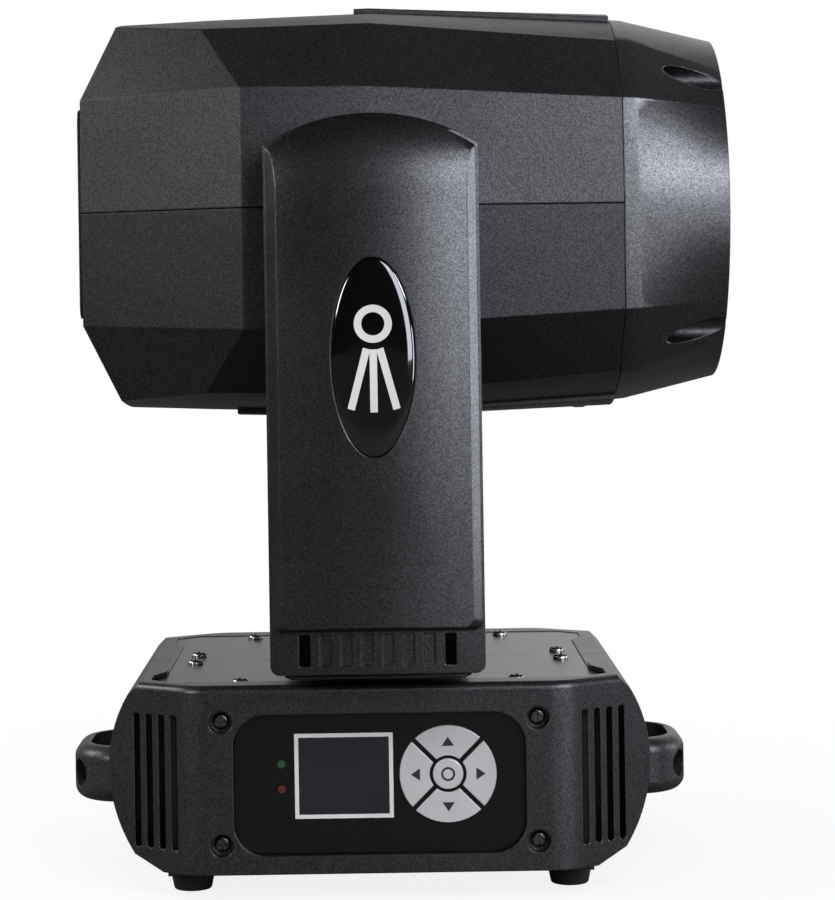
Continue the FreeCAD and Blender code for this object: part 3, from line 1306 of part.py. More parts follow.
def pan_motor():
    """Stepping motor under the bridge."""
    top = BRACKET_HEIGHT - BRACKET_PLATE - GAP / 3
    body = rounded_block(about(PAN_MOTOR_PLACE, MOTOR_SIZE), about(0, MOTOR_SIZE),
                         (top - PAN_MOTOR_LENGTH, top),
                         MOTOR_CORNER, Z_AXIS)
    spot = X_AXIS * PAN_MOTOR_PLACE
    return body.cut(rod(MOTOR_SHAFT_RADIUS + RUNNING, spot + Z_AXIS * (top - PAN_MOTOR_LENGTH / 2),
                        spot + Z_AXIS * (top + OVERRUN)))


def pan_motor_pulley():
    """Motor pulley with the motor shaft it sits on."""
    spot = X_AXIS * PAN_MOTOR_PLACE
    centre = spot + Z_AXIS * pan_pulley_height()
    wheel_part = pulley(PAN_MOTOR_PULLEY_RADIUS, MOTOR_SHAFT_RADIUS - RUNNING, centre, Z_AXIS)
    edge = BELT_WIDTH / 2 + GAP + PULLEY_FLANGE_THICKNESS
    low = BRACKET_HEIGHT - BRACKET_PLATE - PAN_MOTOR_LENGTH / 2 + GAP
    return joined([wheel_part, rod(MOTOR_SHAFT_RADIUS, spot + Z_AXIS * low, centre + Z_AXIS * edge)])


def pan_belt():
    """Belt between the pan motor pulley and the pan pulley."""
    height = Z_AXIS * pan_pulley_height()
    return belt(PAN_PULLEY_RADIUS, PAN_MOTOR_PULLEY_RADIUS, height, height + X_AXIS * PAN_MOTOR_PLACE, Z_AXIS)


# Base mouldings and panels

def waist_points(inset):
    """Plan outline of the front moulding, moved inwards by an inset."""
    half = [(FACE_HALF_WIDTH, -BASE_FRONT), (BASE_HALF_WIDTH, -CORNER_BACK),
            (BASE_HALF_WIDTH, -WING_SHOULDER),
            (WING_CORNER_ACROSS, -WING_BACK), (BASE_WAIST + GAP, -WING_BACK), (BASE_WAIST + GAP,
                                                                               -WAIST_HALF_LENGTH)]
    points = half + [(-x, y) for x, y in reversed(half)]
    return inset_points(points, inset)


def face_profile(inset):
    """Front view of a moulding as a wire at Y = 0: bowed sides, flat top, stepped foot."""
    top = MOULDING_TOP - inset
    low = MOULDING_BOTTOM + inset
    shoulder = MOULDING_TOP_HALF_WIDTH - inset
    foot = MOULDING_FOOT_HALF_WIDTH - inset
    waist = BASE_HALF_WIDTH - inset
    middle = (MOULDING_TOP + MOULDING_BOTTOM) / 2
    right = [Vector(foot - MOULDING_FOOT_INSET, 0, low), Vector(foot, 0, MOULDING_FOOT_HEIGHT)]
    high = [Vector(shoulder, 0, top - MOULDING_TOP_STEP), Vector(shoulder - MOULDING_TOP_STEP, 0, top)]
    left = [Vector(-p.x, 0, p.z) for p in right]
    left_high = [Vector(-p.x, 0, p.z) for p in high]
    edges = [Part.LineSegment(left[0], right[0]).toShape(), Part.LineSegment(right[0], right[1]).toShape(),
             Part.Arc(right[1], Vector(waist, 0, middle), high[0]).toShape(),
             Part.LineSegment(high[0], high[1]).toShape(), Part.LineSegment(high[1], left_high[1]).toShape(),
             Part.LineSegment(left_high[1], left_high[0]).toShape(),
             Part.Arc(left_high[0], Vector(-waist, 0, middle), left[1]).toShape(),
             Part.LineSegment(left[1], left[0]).toShape()]
    return Part.Wire(edges)


def moulding_body(inset):
    """Plan outline and front profile of the front moulding taken together."""
    profile = face_profile(inset)
    profile.translate(Y_AXIS * -(BASE_FRONT + OVERRUN))
    bar = Part.Face(profile).extrude(Y_AXIS * BASE_FRONT)
    body = plate_outline(waist_points(inset), 0, MOULDING_TOP + OVERRUN)
    corners = [edge for edge in body.Edges
               if edge.BoundBox.YMax < inset + GAP - BASE_FRONT and edge.BoundBox.ZLength > MOULDING_TOP]
    return body.makeFillet(FACE_ROUND - inset, corners).common(bar)


def top_plate_points(grow):
    """Plan outline of the front top plate, with its back edge on the seam."""
    half = [(PLATE_FRONT_ACROSS + grow, -PLATE_FRONT - grow), (PLATE_FLARE_ACROSS + grow, -PLATE_CORNER_BACK),
            (PLATE_FLARE_ACROSS + grow, -PLATE_FLARE_BACK), (BASE_WAIST + grow, -WAIST_HALF_LENGTH),
            (BASE_WAIST + grow, -GAP / 2)]
    return half + [(-x, y) for x, y in reversed(half)]


def base_moulding(top):
    """Moulding up to a height, with vent slots and screw wells; the recess or panel opening comes after."""
    outer = moulding_body(0)
    brow = [edge for edge in outer.Edges
            if edge.CenterOfMass.y < GAP - BASE_FRONT and edge.CenterOfMass.z > MOULDING_TOP - GAP]
    outer = outer.makeFillet(MOULDING_ROUND, brow)
    waist = BASE_WAIST - WALL
    width = (-BASE_HALF_WIDTH, BASE_HALF_WIDTH)
    length = (-BASE_FRONT - OVERRUN, 0)
    hollow = moulding_body(WALL).common(block(width, length, (0, top - WALL)))
    throat = block((-waist, waist), (-WAIST_HALF_LENGTH - WALL * 2, OVERRUN - WING_BACK), (0, top - WALL))
    drain = block((-BASE_WAIST, BASE_WAIST), (-CHASSIS_DEPTH - GAP * 3, -WAIST_HALF_LENGTH - WALL),
                  (0, MOULDING_TOP / 2))
    under = min(BASE_TOP - SHEET, top - WALL) - GAP
    lid = plate_outline(top_plate_points(GAP), under, MOULDING_TOP + OVERRUN)
    crown = block(width, length, (top, MOULDING_TOP + OVERRUN))
    shell = outer.cut([hollow, throat, drain, lid, crown])
    wells = []
    pockets = []
    for across, up in face_screw_spots():
        mouth = Vector(across, -BASE_FRONT, up)
        floor = mouth + Y_AXIS * FACE_SCREW_WELL_DEPTH
        wells.append(rod(FACE_SCREW_WELL_RADIUS + WALL, mouth + Y_AXIS * (WALL / 2),
                         Vector(across, -CHASSIS_DEPTH - GAP, up)))
        pockets.append(rod(FACE_SCREW_WELL_RADIUS, mouth - Y_AXIS * OVERRUN, floor))
        pockets.append(rod(SCREW_RADIUS + GAP, mouth, Vector(across, OVERRUN - CHASSIS_DEPTH, up)))
    limit = moulding_body(WALL / 2)
    shell = shell.fuse([well.common(limit) for well in wells] + [side_rail(side) for side in (1, -1)])
    return shell.cut(pockets + vent_slots())


def side_rail(side):
    """Shoulder of a moulding along the waist, level with the top plates and ending at their seam."""
    top = BASE_TOP + MOULDING_FLUSH
    run = (-WING_BACK - WALL, -GAP / 2)
    inner = side * (BASE_WAIST + GAP)
    skins = []
    for inset in (0, WALL):
        profile = face_profile(inset)
        profile.translate(Y_AXIS * run[0])
        skins.append(Part.Face(profile).extrude(Y_AXIS * (run[1] - run[0])))
    roof = block(sorted((inner, side * BASE_HALF_WIDTH)), run, (top - WALL, top)).common(skins[0])
    limit = block(sorted((inner, side * BASE_HALF_WIDTH)), run, (top - RAIL_HEIGHT, top))
    return joined([skins[0].cut(skins[1]).common(limit), roof])


def face_screw_spots():
    """Places of a moulding's four screws in X and Z."""
    return [(side * FACE_SCREW_ACROSS, up) for side in (1, -1) for up in FACE_SCREW_HEIGHTS]


def vent_slots():
    """Upright slots through the slanted corners of a moulding."""
    slots = []
    for side in (1, -1):
        for index in range(VENT_SLOTS):
            across = side * (VENT_FIRST + VENT_PITCH * index)
            slots.append(rounded_block(about(across, VENT_WIDTH),
                                       (-BASE_FRONT - OVERRUN, -CORNER_BACK + OVERRUN * 2),
                                       (VENT_BOTTOM, VENT_TOP), VENT_ROUND, Y_AXIS))
    return slots


def front_moulding():
    """Moulding round the display, with a deep rounded recess."""
    shell = base_moulding(MOULDING_TOP)
    width = about(0, RECESS_WIDTH)
    height = about(RECESS_CENTRE, RECESS_HEIGHT)
    wall_width = about(0, RECESS_WIDTH + WALL * 2)
    wall_height = about(RECESS_CENTRE, RECESS_HEIGHT + WALL * 2)
    back = RECESS_DEPTH + FASCIA_THICKNESS + GAP - BASE_FRONT
    sleeve = rounded_block(wall_width, (WALL / 2 - BASE_FRONT, back), wall_height, RECESS_CORNER + WALL,
                           Y_AXIS)
    window = rounded_block(width, (-BASE_FRONT - OVERRUN, back + OVERRUN), height, RECESS_CORNER, Y_AXIS)
    clear = [rod(FACE_SCREW_WELL_RADIUS, Vector(across, -BASE_FRONT - OVERRUN, up),
                 Vector(across, FACE_SCREW_WELL_DEPTH - BASE_FRONT, up)) for across, up in face_screw_spots()]
    return shell.fuse(sleeve).cut([window] + clear).removeSplitter()


def rear_moulding():
    """Same moulding at the back, level with the top plates, with an opening for the socket panel."""
    shell = base_moulding(BASE_TOP + MOULDING_FLUSH)
    window = rounded_block(about(0, (SOCKET_PANEL_HALF_WIDTH - WALL) * 2),
                           (-BASE_FRONT - OVERRUN, WALL * 2 - BASE_FRONT),
                           (SOCKET_PANEL_BOTTOM + WALL, SOCKET_PANEL_TOP - WALL), SOCKET_PANEL_CORNER, Y_AXIS)
    return turned(shell.cut(window).removeSplitter(), ORIGIN, Z_AXIS, HALF_TURN)


def chassis():
    """Folded steel tray with bracket holes, front and rear uprights and their top flanges."""
    half = BASE_WAIST - SHEET - GAP / 3
    depth = CHASSIS_DEPTH
    lip_top = BASE_TOP - SHEET - GAP / 3
    floor = block((-half, half), (-depth, depth), (0, SHEET))
    pieces = [floor]
    for side in (1, -1):
        face = side * depth
        pieces.append(block((-half, half), sorted((face, face - side * SHEET)), (0, lip_top)))
        pieces.append(block((-half, half), sorted((face, face - side * CHASSIS_LIP)),
                            (lip_top - SHEET, lip_top)))
    cuts = []
    window = about(0, RECESS_WIDTH - WALL * 4)
    cuts.append(rounded_block(window, (-depth - OVERRUN, SHEET + OVERRUN - depth),
                              about(RECESS_CENTRE, RECESS_HEIGHT - WALL * 4), RECESS_CORNER / 2, Y_AXIS))
    cuts.append(rounded_block(about(0, (FACE_SCREW_ACROSS - FACE_SCREW_WELL_RADIUS) * 2),
                              (depth - SHEET - OVERRUN, depth + OVERRUN),
                              (SOCKET_PANEL_BOTTOM + CHASSIS_LIP / 2,
                               SOCKET_PANEL_TOP - CHASSIS_LIP / 2), RECESS_CORNER / 2, Y_AXIS))
    for across, along in bracket_spots():
        spot = Vector(across, along, 0)
        cuts.append(rod(BRACKET_HOLE_RADIUS, spot - Z_AXIS * OVERRUN, spot + Z_AXIS * OVERRUN))
    for across, up in face_screw_spots():
        cuts.append(rod(SCREW_RADIUS + GAP / 3, Vector(across, -depth - OVERRUN, up),
                        Vector(across, OVERRUN - depth, up)))
        cuts.append(rod(SCREW_RADIUS + GAP / 3, Vector(across, depth - OVERRUN, up),
                        Vector(across, depth + OVERRUN, up)))
    for across, along, _ in top_screw_spots():
        if abs(along) > WAIST_HALF_LENGTH:
            spot = Vector(across, along, lip_top)
            cuts.append(rod(SCREW_RADIUS + GAP / 3, spot - Z_AXIS * OVERRUN, spot + Z_AXIS * OVERRUN))
    return joined(pieces).cut(cuts)


def bracket_spots():
    """Four holes on the underside for the hanging brackets."""
    return [(x * BRACKET_HOLE_ACROSS / 2, y * BRACKET_HOLE_ALONG / 2) for x in (1, -1) for y in (1, -1)]


def side_panel(side):
    """Side plate of the waist with louvre slots and an inward flange under the top plates."""
    outer = side * BASE_WAIST
    half = WAIST_HALF_LENGTH - GAP
    top = BASE_TOP - SHEET - GAP / 3
    wall = block(sorted((outer, outer - side * SHEET)), (-half, half), (0, top))
    flange = block(sorted((outer, outer - side * CHASSIS_LIP)), (-half, half), (top - SHEET, top))
    cuts = []
    for along in (-1, 0, 1):
        for up in (HANDLE_TOP + HANDLE_PAD, HANDLE_BOTTOM - HANDLE_PAD):
            cuts.append(block(sorted((outer - side * SHEET * 2, outer + side * OVERRUN)),
                              about(along * HANDLE_HALF_LENGTH,
                                    HANDLE_HALF_LENGTH * LOUVRE_SHARE), about(up, VENT_WIDTH)))
    for across, along, own_side in top_screw_spots():
        if own_side == side and abs(along) < WAIST_HALF_LENGTH:
            spot = Vector(across, along, top)
            cuts.append(rod(SCREW_RADIUS + GAP / 3, spot - Z_AXIS * OVERRUN, spot + Z_AXIS * OVERRUN))
    for along in handle_screw_alongs():
        cuts.append(rod(SCREW_RADIUS + GAP / 3, Vector(outer - side * OVERRUN, along, handle_middle()),
                        Vector(outer + side * OVERRUN, along, handle_middle())))
    return joined([wall, flange]).cut(cuts)


def handle_middle():
    """Height of the middle of the handles."""
    return (HANDLE_BOTTOM + HANDLE_TOP) / 2


def handle_screw_alongs():
    """Places of the handle screws along Y."""
    return (-HANDLE_HALF_LENGTH + HANDLE_BAND / 2, HANDLE_HALF_LENGTH - HANDLE_BAND / 2)


def handle_outline(inset, root):
    """Closed D in plan: straight root on the side panel, rounded outer corners."""
    reach = HANDLE_REACH - inset
    half = HANDLE_HALF_LENGTH - inset
    bend = HANDLE_ROUND - inset
    diagonal = bend * (1 - math.sqrt(0.5))
    points = [Vector(root, -half, 0), Vector(reach - bend, -half, 0),
              Vector(reach - diagonal, diagonal - half, 0),
              Vector(reach, bend - half, 0), Vector(reach, half - bend, 0),
              Vector(reach - diagonal, half - diagonal, 0),
              Vector(reach - bend, half, 0), Vector(root, half, 0)]
    edges = [Part.LineSegment(points[0], points[1]).toShape(),
             Part.Arc(points[1], points[2], points[3]).toShape(),
             Part.LineSegment(points[3], points[4]).toShape(),
             Part.Arc(points[4], points[5], points[6]).toShape(),
             Part.LineSegment(points[6], points[7]).toShape(),
             Part.LineSegment(points[7], points[0]).toShape()]
    return Part.Wire(edges)


def handle(side):
    """Carrying handle: a D-shaped band with rounded edges and a rope hole near its front corner."""
    root = BASE_WAIST + GAP / 3
    tall = Vector(0, 0, HANDLE_TOP - HANDLE_BOTTOM)
    lift = Vector(0, 0, HANDLE_BOTTOM)
    outer = Part.Face(handle_outline(0, root)).extrude(tall)
    rim = [edge for edge in outer.Edges
           if abs(edge.CenterOfMass.z - tall.z / 2) > tall.z / 3 and edge.CenterOfMass.x > root + GAP]
    outer = outer.makeFillet(HANDLE_EDGE, rim)
    inner = Part.Face(handle_outline(HANDLE_BAND, root + HANDLE_PAD)).extrude(tall + Z_AXIS * OVERRUN * 2)
    inner.translate(Z_AXIS * -OVERRUN)
    band = outer.cut(inner)
    band.translate(lift)
    turn = math.radians(ROPE_HOLE_ANGLE)
    centre = rope_hole_point(-side)
    along = Vector(math.cos(turn), -side * math.sin(turn), 0)
    cuts = [rod(ROPE_HOLE_RADIUS, centre - along * HANDLE_BAND, centre + along * HANDLE_BAND)]
    for along in handle_screw_alongs():
        cuts.append(rod(SCREW_RADIUS + GAP / 3, Vector(root - OVERRUN, along, handle_middle()),
                        Vector(root + HANDLE_PAD, along, handle_middle())))
    band = band.cut(cuts).removeSplitter()
    return band if side > 0 else turned(band, ORIGIN, Z_AXIS, HALF_TURN)


def rope_hole_point(end):
    """Middle of the rope hole in a handle's band, before the left one is turned round."""
    turn = math.radians(ROPE_HOLE_ANGLE)
    bend = HANDLE_ROUND - HANDLE_BAND / 2
    return Vector(HANDLE_REACH - HANDLE_ROUND + bend * math.cos(turn),
                  end * (HANDLE_HALF_LENGTH - HANDLE_ROUND + bend * math.sin(turn)), handle_middle())


def handle_screws():
    """Screws from inside the side panels into the handle roots."""
    shapes = []
    for side in (1, -1):
        for along in handle_screw_alongs():
            seat = Vector(side * (BASE_WAIST - SHEET - GAP / 3), along, handle_middle())
            shapes.append(screw(seat, X_AXIS * -side, SCREW_LENGTH))
    return group(shapes)


def top_plate(side):
    """Front (side -1) or rear (side 1) top plate, cut round the pan hub."""
    plate = plate_outline(top_plate_points(0), BASE_TOP - SHEET, BASE_TOP)
    if side > 0:
        plate = turned(plate, ORIGIN, Z_AXIS, HALF_TURN)
    cuts = [rod(HUB_FLANGE_RADIUS + GAP, ORIGIN, Z_AXIS * (BASE_TOP + OVERRUN))]
    for across, along, _ in top_screw_spots():
        if along * side > 0:
            spot = Vector(across, along, BASE_TOP)
            cuts.append(rod(SCREW_RADIUS + GAP / 3, spot - Z_AXIS * OVERRUN, spot + Z_AXIS * OVERRUN))
    return plate.cut(cuts)


def top_screw_spots():
    """Places of the top plate screws: across, along, side."""
    return [(side * across, end * along, side) for across, along in TOP_SCREW_PLACES
            for side in (1, -1) for end in (1, -1)]


def top_screws():
    """Pan-head screws of the top plates."""
    return group([screw(Vector(across, along, BASE_TOP + GAP / 3), Z_AXIS, SHEET * 2)
                  for across, along, _ in top_screw_spots()])


def pan_collar():
    """Ring on the top plates round the pan hub."""
    low = BASE_TOP + GAP / 3
    return tube(COLLAR_RADIUS, HUB_FLANGE_RADIUS + GAP * 2, Z_AXIS * low, Z_AXIS * (BASE_TOP + COLLAR_HEIGHT))


def moulding_screws(side):
    """Screws at the bottom of a moulding's wells."""
    shapes = []
    for across, up in face_screw_spots():
        seat = Vector(across, side * (BASE_FRONT - FACE_SCREW_WELL_DEPTH + GAP / 3), up)
        shapes.append(screw(seat, Y_AXIS * side, BASE_FRONT - FACE_SCREW_WELL_DEPTH - CHASSIS_DEPTH + SHEET))
    return group(shapes)


def feet():
    """Four rubber feet under the chassis."""
    shapes = []
    for x in (1, -1):
        for y in (1, -1):
            spot = Vector(x * FOOT_ACROSS, y * FOOT_ALONG, 0)
            shapes.append(cone(FOOT_RADIUS - SHEET, FOOT_RADIUS, spot - Z_AXIS * FOOT_HEIGHT,
                               spot - Z_AXIS * (GAP / 3)))
    return group(shapes)


# Display, keys and status lights

def fascia_front():
    """Front face of the fascia, at the bottom of the recess."""
    return RECESS_DEPTH - BASE_FRONT


def key_sector(grow, near, far):
    """Upper key as a ring sector between two distances along Y, grown all round."""
    outer = KEY_OUTER_RADIUS + grow
    inner = KEY_INNER_RADIUS - grow
    centre = Vector(KEY_ACROSS, 0, KEY_UP)
    ring = tube(outer, inner, centre + Y_AXIS * near, centre + Y_AXIS * far)
    shift = (KEY_SPLIT / 2 - grow) * math.sqrt(2)
    reach = outer * 2
    wedge = prism([Vector(KEY_ACROSS, near, KEY_UP + shift),
                   Vector(KEY_ACROSS + reach, near, KEY_UP + shift + reach),
                   Vector(KEY_ACROSS - reach, near, KEY_UP + shift + reach)], Y_AXIS * (far - near))
    return ring.common(wedge)


def key_turned(shape, step):
    """A key shape turned to one of the four directions."""
    return turned(shape, Vector(KEY_ACROSS, 0, KEY_UP), Y_AXIS, step * QUARTER_TURN)


def sector_key(step):
    """One of the four direction keys with its stem."""
    front = fascia_front() - KEY_PROUD
    cap = key_sector(0, front, front + KEY_THICKNESS)
    middle = (KEY_OUTER_RADIUS + KEY_INNER_RADIUS) / 2
    foot = Vector(KEY_ACROSS, front + KEY_THICKNESS, KEY_UP + middle)
    stem = rod(KEY_STEM_RADIUS, foot - Y_AXIS * GAP, foot + Y_AXIS * KEY_STEM_LENGTH)
    return key_turned(joined([cap, stem]), step)


def centre_key():
    """Round key in the middle with its stem."""
    front = fascia_front() - KEY_PROUD
    start = Vector(KEY_ACROSS, front, KEY_UP)
    cap = rod(KEY_CENTRE_RADIUS, start, start + Y_AXIS * KEY_THICKNESS)
    stem = rod(KEY_STEM_RADIUS, start + Y_AXIS * (KEY_THICKNESS - GAP),
               start + Y_AXIS * (KEY_THICKNESS + KEY_STEM_LENGTH))
    return joined([cap, stem])


def fascia():
    """Dark panel at the bottom of the recess with key, display and light openings and a key guide behind."""
    front = fascia_front()
    back = front + FASCIA_THICKNESS
    panel = rounded_block(about(0, RECESS_WIDTH - GAP * 2), (front, back),
                          about(RECESS_CENTRE, RECESS_HEIGHT - GAP * 2),
                          RECESS_CORNER - GAP, Y_AXIS)
    centre = Vector(KEY_ACROSS, 0, KEY_UP)
    guide = rod(KEY_OUTER_RADIUS + KEY_SEAT_WALL, centre + Y_AXIS * front,
                centre + Y_AXIS * (front + KEY_SEAT_DEPTH))
    cuts = [key_turned(key_sector(GAP, front - OVERRUN, front + KEY_SEAT_DEPTH + OVERRUN), step)
            for step in range(FULL_TURN // QUARTER_TURN)]
    cuts.append(rod(KEY_CENTRE_RADIUS + GAP, centre + Y_AXIS * (front - OVERRUN),
                    centre + Y_AXIS * (back + OVERRUN * 2)))
    cuts.append(block(about(DISPLAY_ACROSS, DISPLAY_WIDTH + GAP), (front - OVERRUN, back + OVERRUN),
                      about(DISPLAY_UP, DISPLAY_HEIGHT + GAP)))
    for height in LIGHT_HEIGHTS:
        spot = Vector(LIGHT_ACROSS, front, height)
        cuts.append(rod(LIGHT_RADIUS + GAP / 3, spot - Y_AXIS * OVERRUN, spot + Y_AXIS * OVERRUN))
    return joined([panel, guide]).cut(cuts)


def display():
    """Display module: glass level with the fascia and a body behind."""
    front = fascia_front()
    return block(about(DISPLAY_ACROSS, DISPLAY_WIDTH), (front - GAP, front + DISPLAY_DEPTH),
                 about(DISPLAY_UP, DISPLAY_HEIGHT))


def status_lights():
    """Two round light pipes beside the display."""
    front = fascia_front()
    shapes = []
    for height in LIGHT_HEIGHTS:
        start = Vector(LIGHT_ACROSS, front - GAP * 2, height)
        shapes.append(rod(LIGHT_RADIUS, start, Vector(LIGHT_ACROSS, control_board_front() - GAP / 3, height)))
    return group(shapes)


def control_board_front():
    """Front face of the control board, behind the keys and the display."""
    stem_end = fascia_front() - KEY_PROUD + KEY_THICKNESS + KEY_STEM_LENGTH
    return stem_end + KEY_TRAVEL + GAP / 2 + SWITCH_SIZE / 3


def control_board():
    """Board behind the fascia with a switch for each key and four posts to the fascia."""
    front = control_board_front()
    half_wide = RECESS_WIDTH / 2 - RECESS_CORNER
    half_tall = RECESS_HEIGHT / 2 - BOARD_MARGIN
    board = block((-half_wide, half_wide), (front, front + BOARD_THICKNESS),
                  about(RECESS_CENTRE, half_tall * 2))
    middle = (KEY_OUTER_RADIUS + KEY_INNER_RADIUS) / 2
    pieces = [board]
    spots = [(0, 0), (0, middle), (middle, 0), (0, -middle), (-middle, 0)]
    for across, up in spots:
        pieces.append(block(about(KEY_ACROSS + across, SWITCH_SIZE), (front - SWITCH_SIZE / 3, front),
                            about(KEY_UP + up, SWITCH_SIZE)))
    back = fascia_front() + FASCIA_THICKNESS + GAP / 3
    for across in (-1, 1):
        for up in (-1, 1):
            spot = Vector(across * (half_wide - STANDOFF_RADIUS), back,
                          RECESS_CENTRE + up * (half_tall - STANDOFF_RADIUS))
            pieces.append(rod(STANDOFF_RADIUS, spot, Vector(spot.x, front, spot.z)))
    return joined(pieces)


# Sockets and switch at the back

def socket_panel_face():
    """Outer face of the socket panel."""
    return BASE_FRONT - WALL - GAP / 3


def socket_panel():
    """Flat panel behind the rear moulding's opening, cut for its fittings."""
    face = socket_panel_face()
    half = SOCKET_PANEL_HALF_WIDTH
    panel = rounded_block((-half, half), (face - SHEET, face), (SOCKET_PANEL_BOTTOM, SOCKET_PANEL_TOP),
                          SOCKET_PANEL_CORNER, Y_AXIS)
    cuts = []
    for across in SIGNAL_SOCKET_PLACES:
        cuts.append(rod(SIGNAL_SOCKET_RADIUS + GAP, socket_point(across, face - OVERRUN),
                        socket_point(across, face + OVERRUN)))
    cuts.append(block(about(INLET_ACROSS, INLET_WIDTH + GAP * 2), (face - OVERRUN, face + OVERRUN),
                      about(SOCKET_HEIGHT, INLET_HEIGHT + GAP * 2)))
    cuts.append(rod(FUSE_RADIUS + GAP, socket_point(FUSE_ACROSS, face - OVERRUN),
                    socket_point(FUSE_ACROSS, face + OVERRUN)))
    cuts.append(block(about(SWITCH_ACROSS, SWITCH_WIDTH + GAP * 2), (face - OVERRUN, face + OVERRUN),
                      about(SOCKET_HEIGHT, SWITCH_HEIGHT + GAP * 2)))
    for across in (-1, 1):
        spot = Vector(across * (half - WALL * 2), 0, SOCKET_PANEL_TOP - WALL * 2)
        cuts.append(rod(SCREW_RADIUS, spot, spot + Y_AXIS * BASE_FRONT))
    posts = [block(about(across * (half - WALL * 3), WALL * 2), (CHASSIS_DEPTH + GAP, face - SHEET),
                   about(SOCKET_PANEL_BOTTOM + WALL * 2, WALL * 2)) for across in (-1, 1)]
    return joined([panel] + posts).cut(cuts)


def socket_point(across, place):
    """Point on a socket's axis."""
    return Vector(across, place, SOCKET_HEIGHT)


def signal_socket(across, pins):
    """Round signal socket; one kind has pins in an open cavity, the other has holes in a solid insert."""
    face = socket_panel_face() + GAP / 3
    out = face + FLANGE_THICKNESS
    flange = rounded_block(about(across, SIGNAL_SOCKET_FLANGE), (face, out),
                           about(SOCKET_HEIGHT, SIGNAL_SOCKET_TALL),
                           FLANGE_THICKNESS, Y_AXIS)
    body = rod(SIGNAL_SOCKET_RADIUS, socket_point(across, face - SIGNAL_SOCKET_DEPTH),
               socket_point(across, face + GAP))
    shape = joined([flange, body])
    depth = SIGNAL_CAVITY_DEPTH if pins else GAP
    floor = out - depth
    shape = shape.cut(rod(SIGNAL_CAVITY_RADIUS, socket_point(across, floor),
                          socket_point(across, out + OVERRUN)))
    contacts = []
    for index in range(SIGNAL_PINS):
        turn = math.pi / 2 + math.tau * index / SIGNAL_PINS
        spot = socket_point(across, floor) + Vector(math.cos(turn), 0, math.sin(turn)) * SIGNAL_PIN_ORBIT
        start = -GAP if pins else -SIGNAL_PIN_LENGTH
        end = SIGNAL_PIN_LENGTH if pins else OVERRUN
        contacts.append(rod(SIGNAL_PIN_RADIUS, spot + Y_AXIS * start, spot + Y_AXIS * end))
    return joined([shape] + contacts) if pins else shape.cut(contacts)


def power_inlet():
    """Mains inlet with three flat pins in an open cavity."""
    face = socket_panel_face() + GAP / 3
    out = face + FLANGE_THICKNESS
    flange = rounded_block(about(INLET_ACROSS, INLET_WIDTH + INLET_EAR), (face, out),
                           about(SOCKET_HEIGHT, INLET_HEIGHT + INLET_EAR / 2),
                           FLANGE_THICKNESS, Y_AXIS)
    body = block(about(INLET_ACROSS, INLET_WIDTH), (face - INLET_DEPTH, face + GAP),
                 about(SOCKET_HEIGHT, INLET_HEIGHT))
    floor = out - INLET_CAVITY_DEPTH
    cavity = rounded_block(about(INLET_ACROSS, INLET_CAVITY_WIDTH), (floor, out + OVERRUN),
                           about(SOCKET_HEIGHT, INLET_CAVITY_HEIGHT),
                           FLANGE_THICKNESS, Y_AXIS)
    blades = []
    for step, up in ((-1, -1), (0, 1), (1, -1)):
        blades.append(block(about(INLET_ACROSS + step * INLET_BLADE_PITCH, INLET_BLADE_THICKNESS),
                            (floor - GAP, floor + INLET_BLADE_LENGTH),
                            about(SOCKET_HEIGHT + up * INLET_BLADE_THICKNESS, INLET_BLADE_WIDTH)))
    return joined([joined([flange, body]).cut(cavity)] + blades)


def fuse_holder():
    """Fuse holder with a round cap."""
    face = socket_panel_face() + GAP / 3
    cap = rod(FUSE_CAP_RADIUS, socket_point(FUSE_ACROSS, face),
              socket_point(FUSE_ACROSS, face + FUSE_CAP_HEIGHT))
    body = rod(FUSE_RADIUS, socket_point(FUSE_ACROSS, face - FUSE_DEPTH),
               socket_point(FUSE_ACROSS, face + GAP))
    slot = block(about(FUSE_ACROSS, FUSE_CAP_RADIUS),
                 (face + FUSE_CAP_HEIGHT - SHEET, face + FUSE_CAP_HEIGHT + OVERRUN),
                 about(SOCKET_HEIGHT, SCREW_SLOT_WIDTH))
    return joined([cap, body]).cut(slot)


def switch_frame():
    """Frame of the power switch with a pocket for its rocker and holes for the rocker's pin."""
    face = socket_panel_face() + GAP / 3
    flange = block(about(SWITCH_ACROSS, SWITCH_WIDTH + SWITCH_RIM * 2), (face, face + SWITCH_RIM),
                   about(SOCKET_HEIGHT, SWITCH_HEIGHT + SWITCH_RIM * 2))
    body = block(about(SWITCH_ACROSS, SWITCH_WIDTH), (face - SWITCH_DEPTH, face + GAP),
                 about(SOCKET_HEIGHT, SWITCH_HEIGHT))
    reach = (face - SWITCH_POCKET, face + OVERRUN)
    pocket = block(about(SWITCH_ACROSS, SWITCH_WIDTH - SWITCH_RIM * 2), reach,
                   about(SOCKET_HEIGHT, SWITCH_HEIGHT - SWITCH_RIM * 2))
    pin_hole = rocker_pin(ROCKER_PIN_RADIUS + RUNNING, SWITCH_WIDTH / 2 + GAP)
    return joined([flange, body]).cut([pocket, pin_hole])


def rocker_axis():
    """Middle of the rocker's hinge."""
    return socket_point(SWITCH_ACROSS, socket_panel_face() - SWITCH_RIM)


def rocker_pin(radius, reach):
    """Rod along the rocker's hinge."""
    centre = rocker_axis()
    return rod(radius, centre - X_AXIS * reach, centre + X_AXIS * reach)


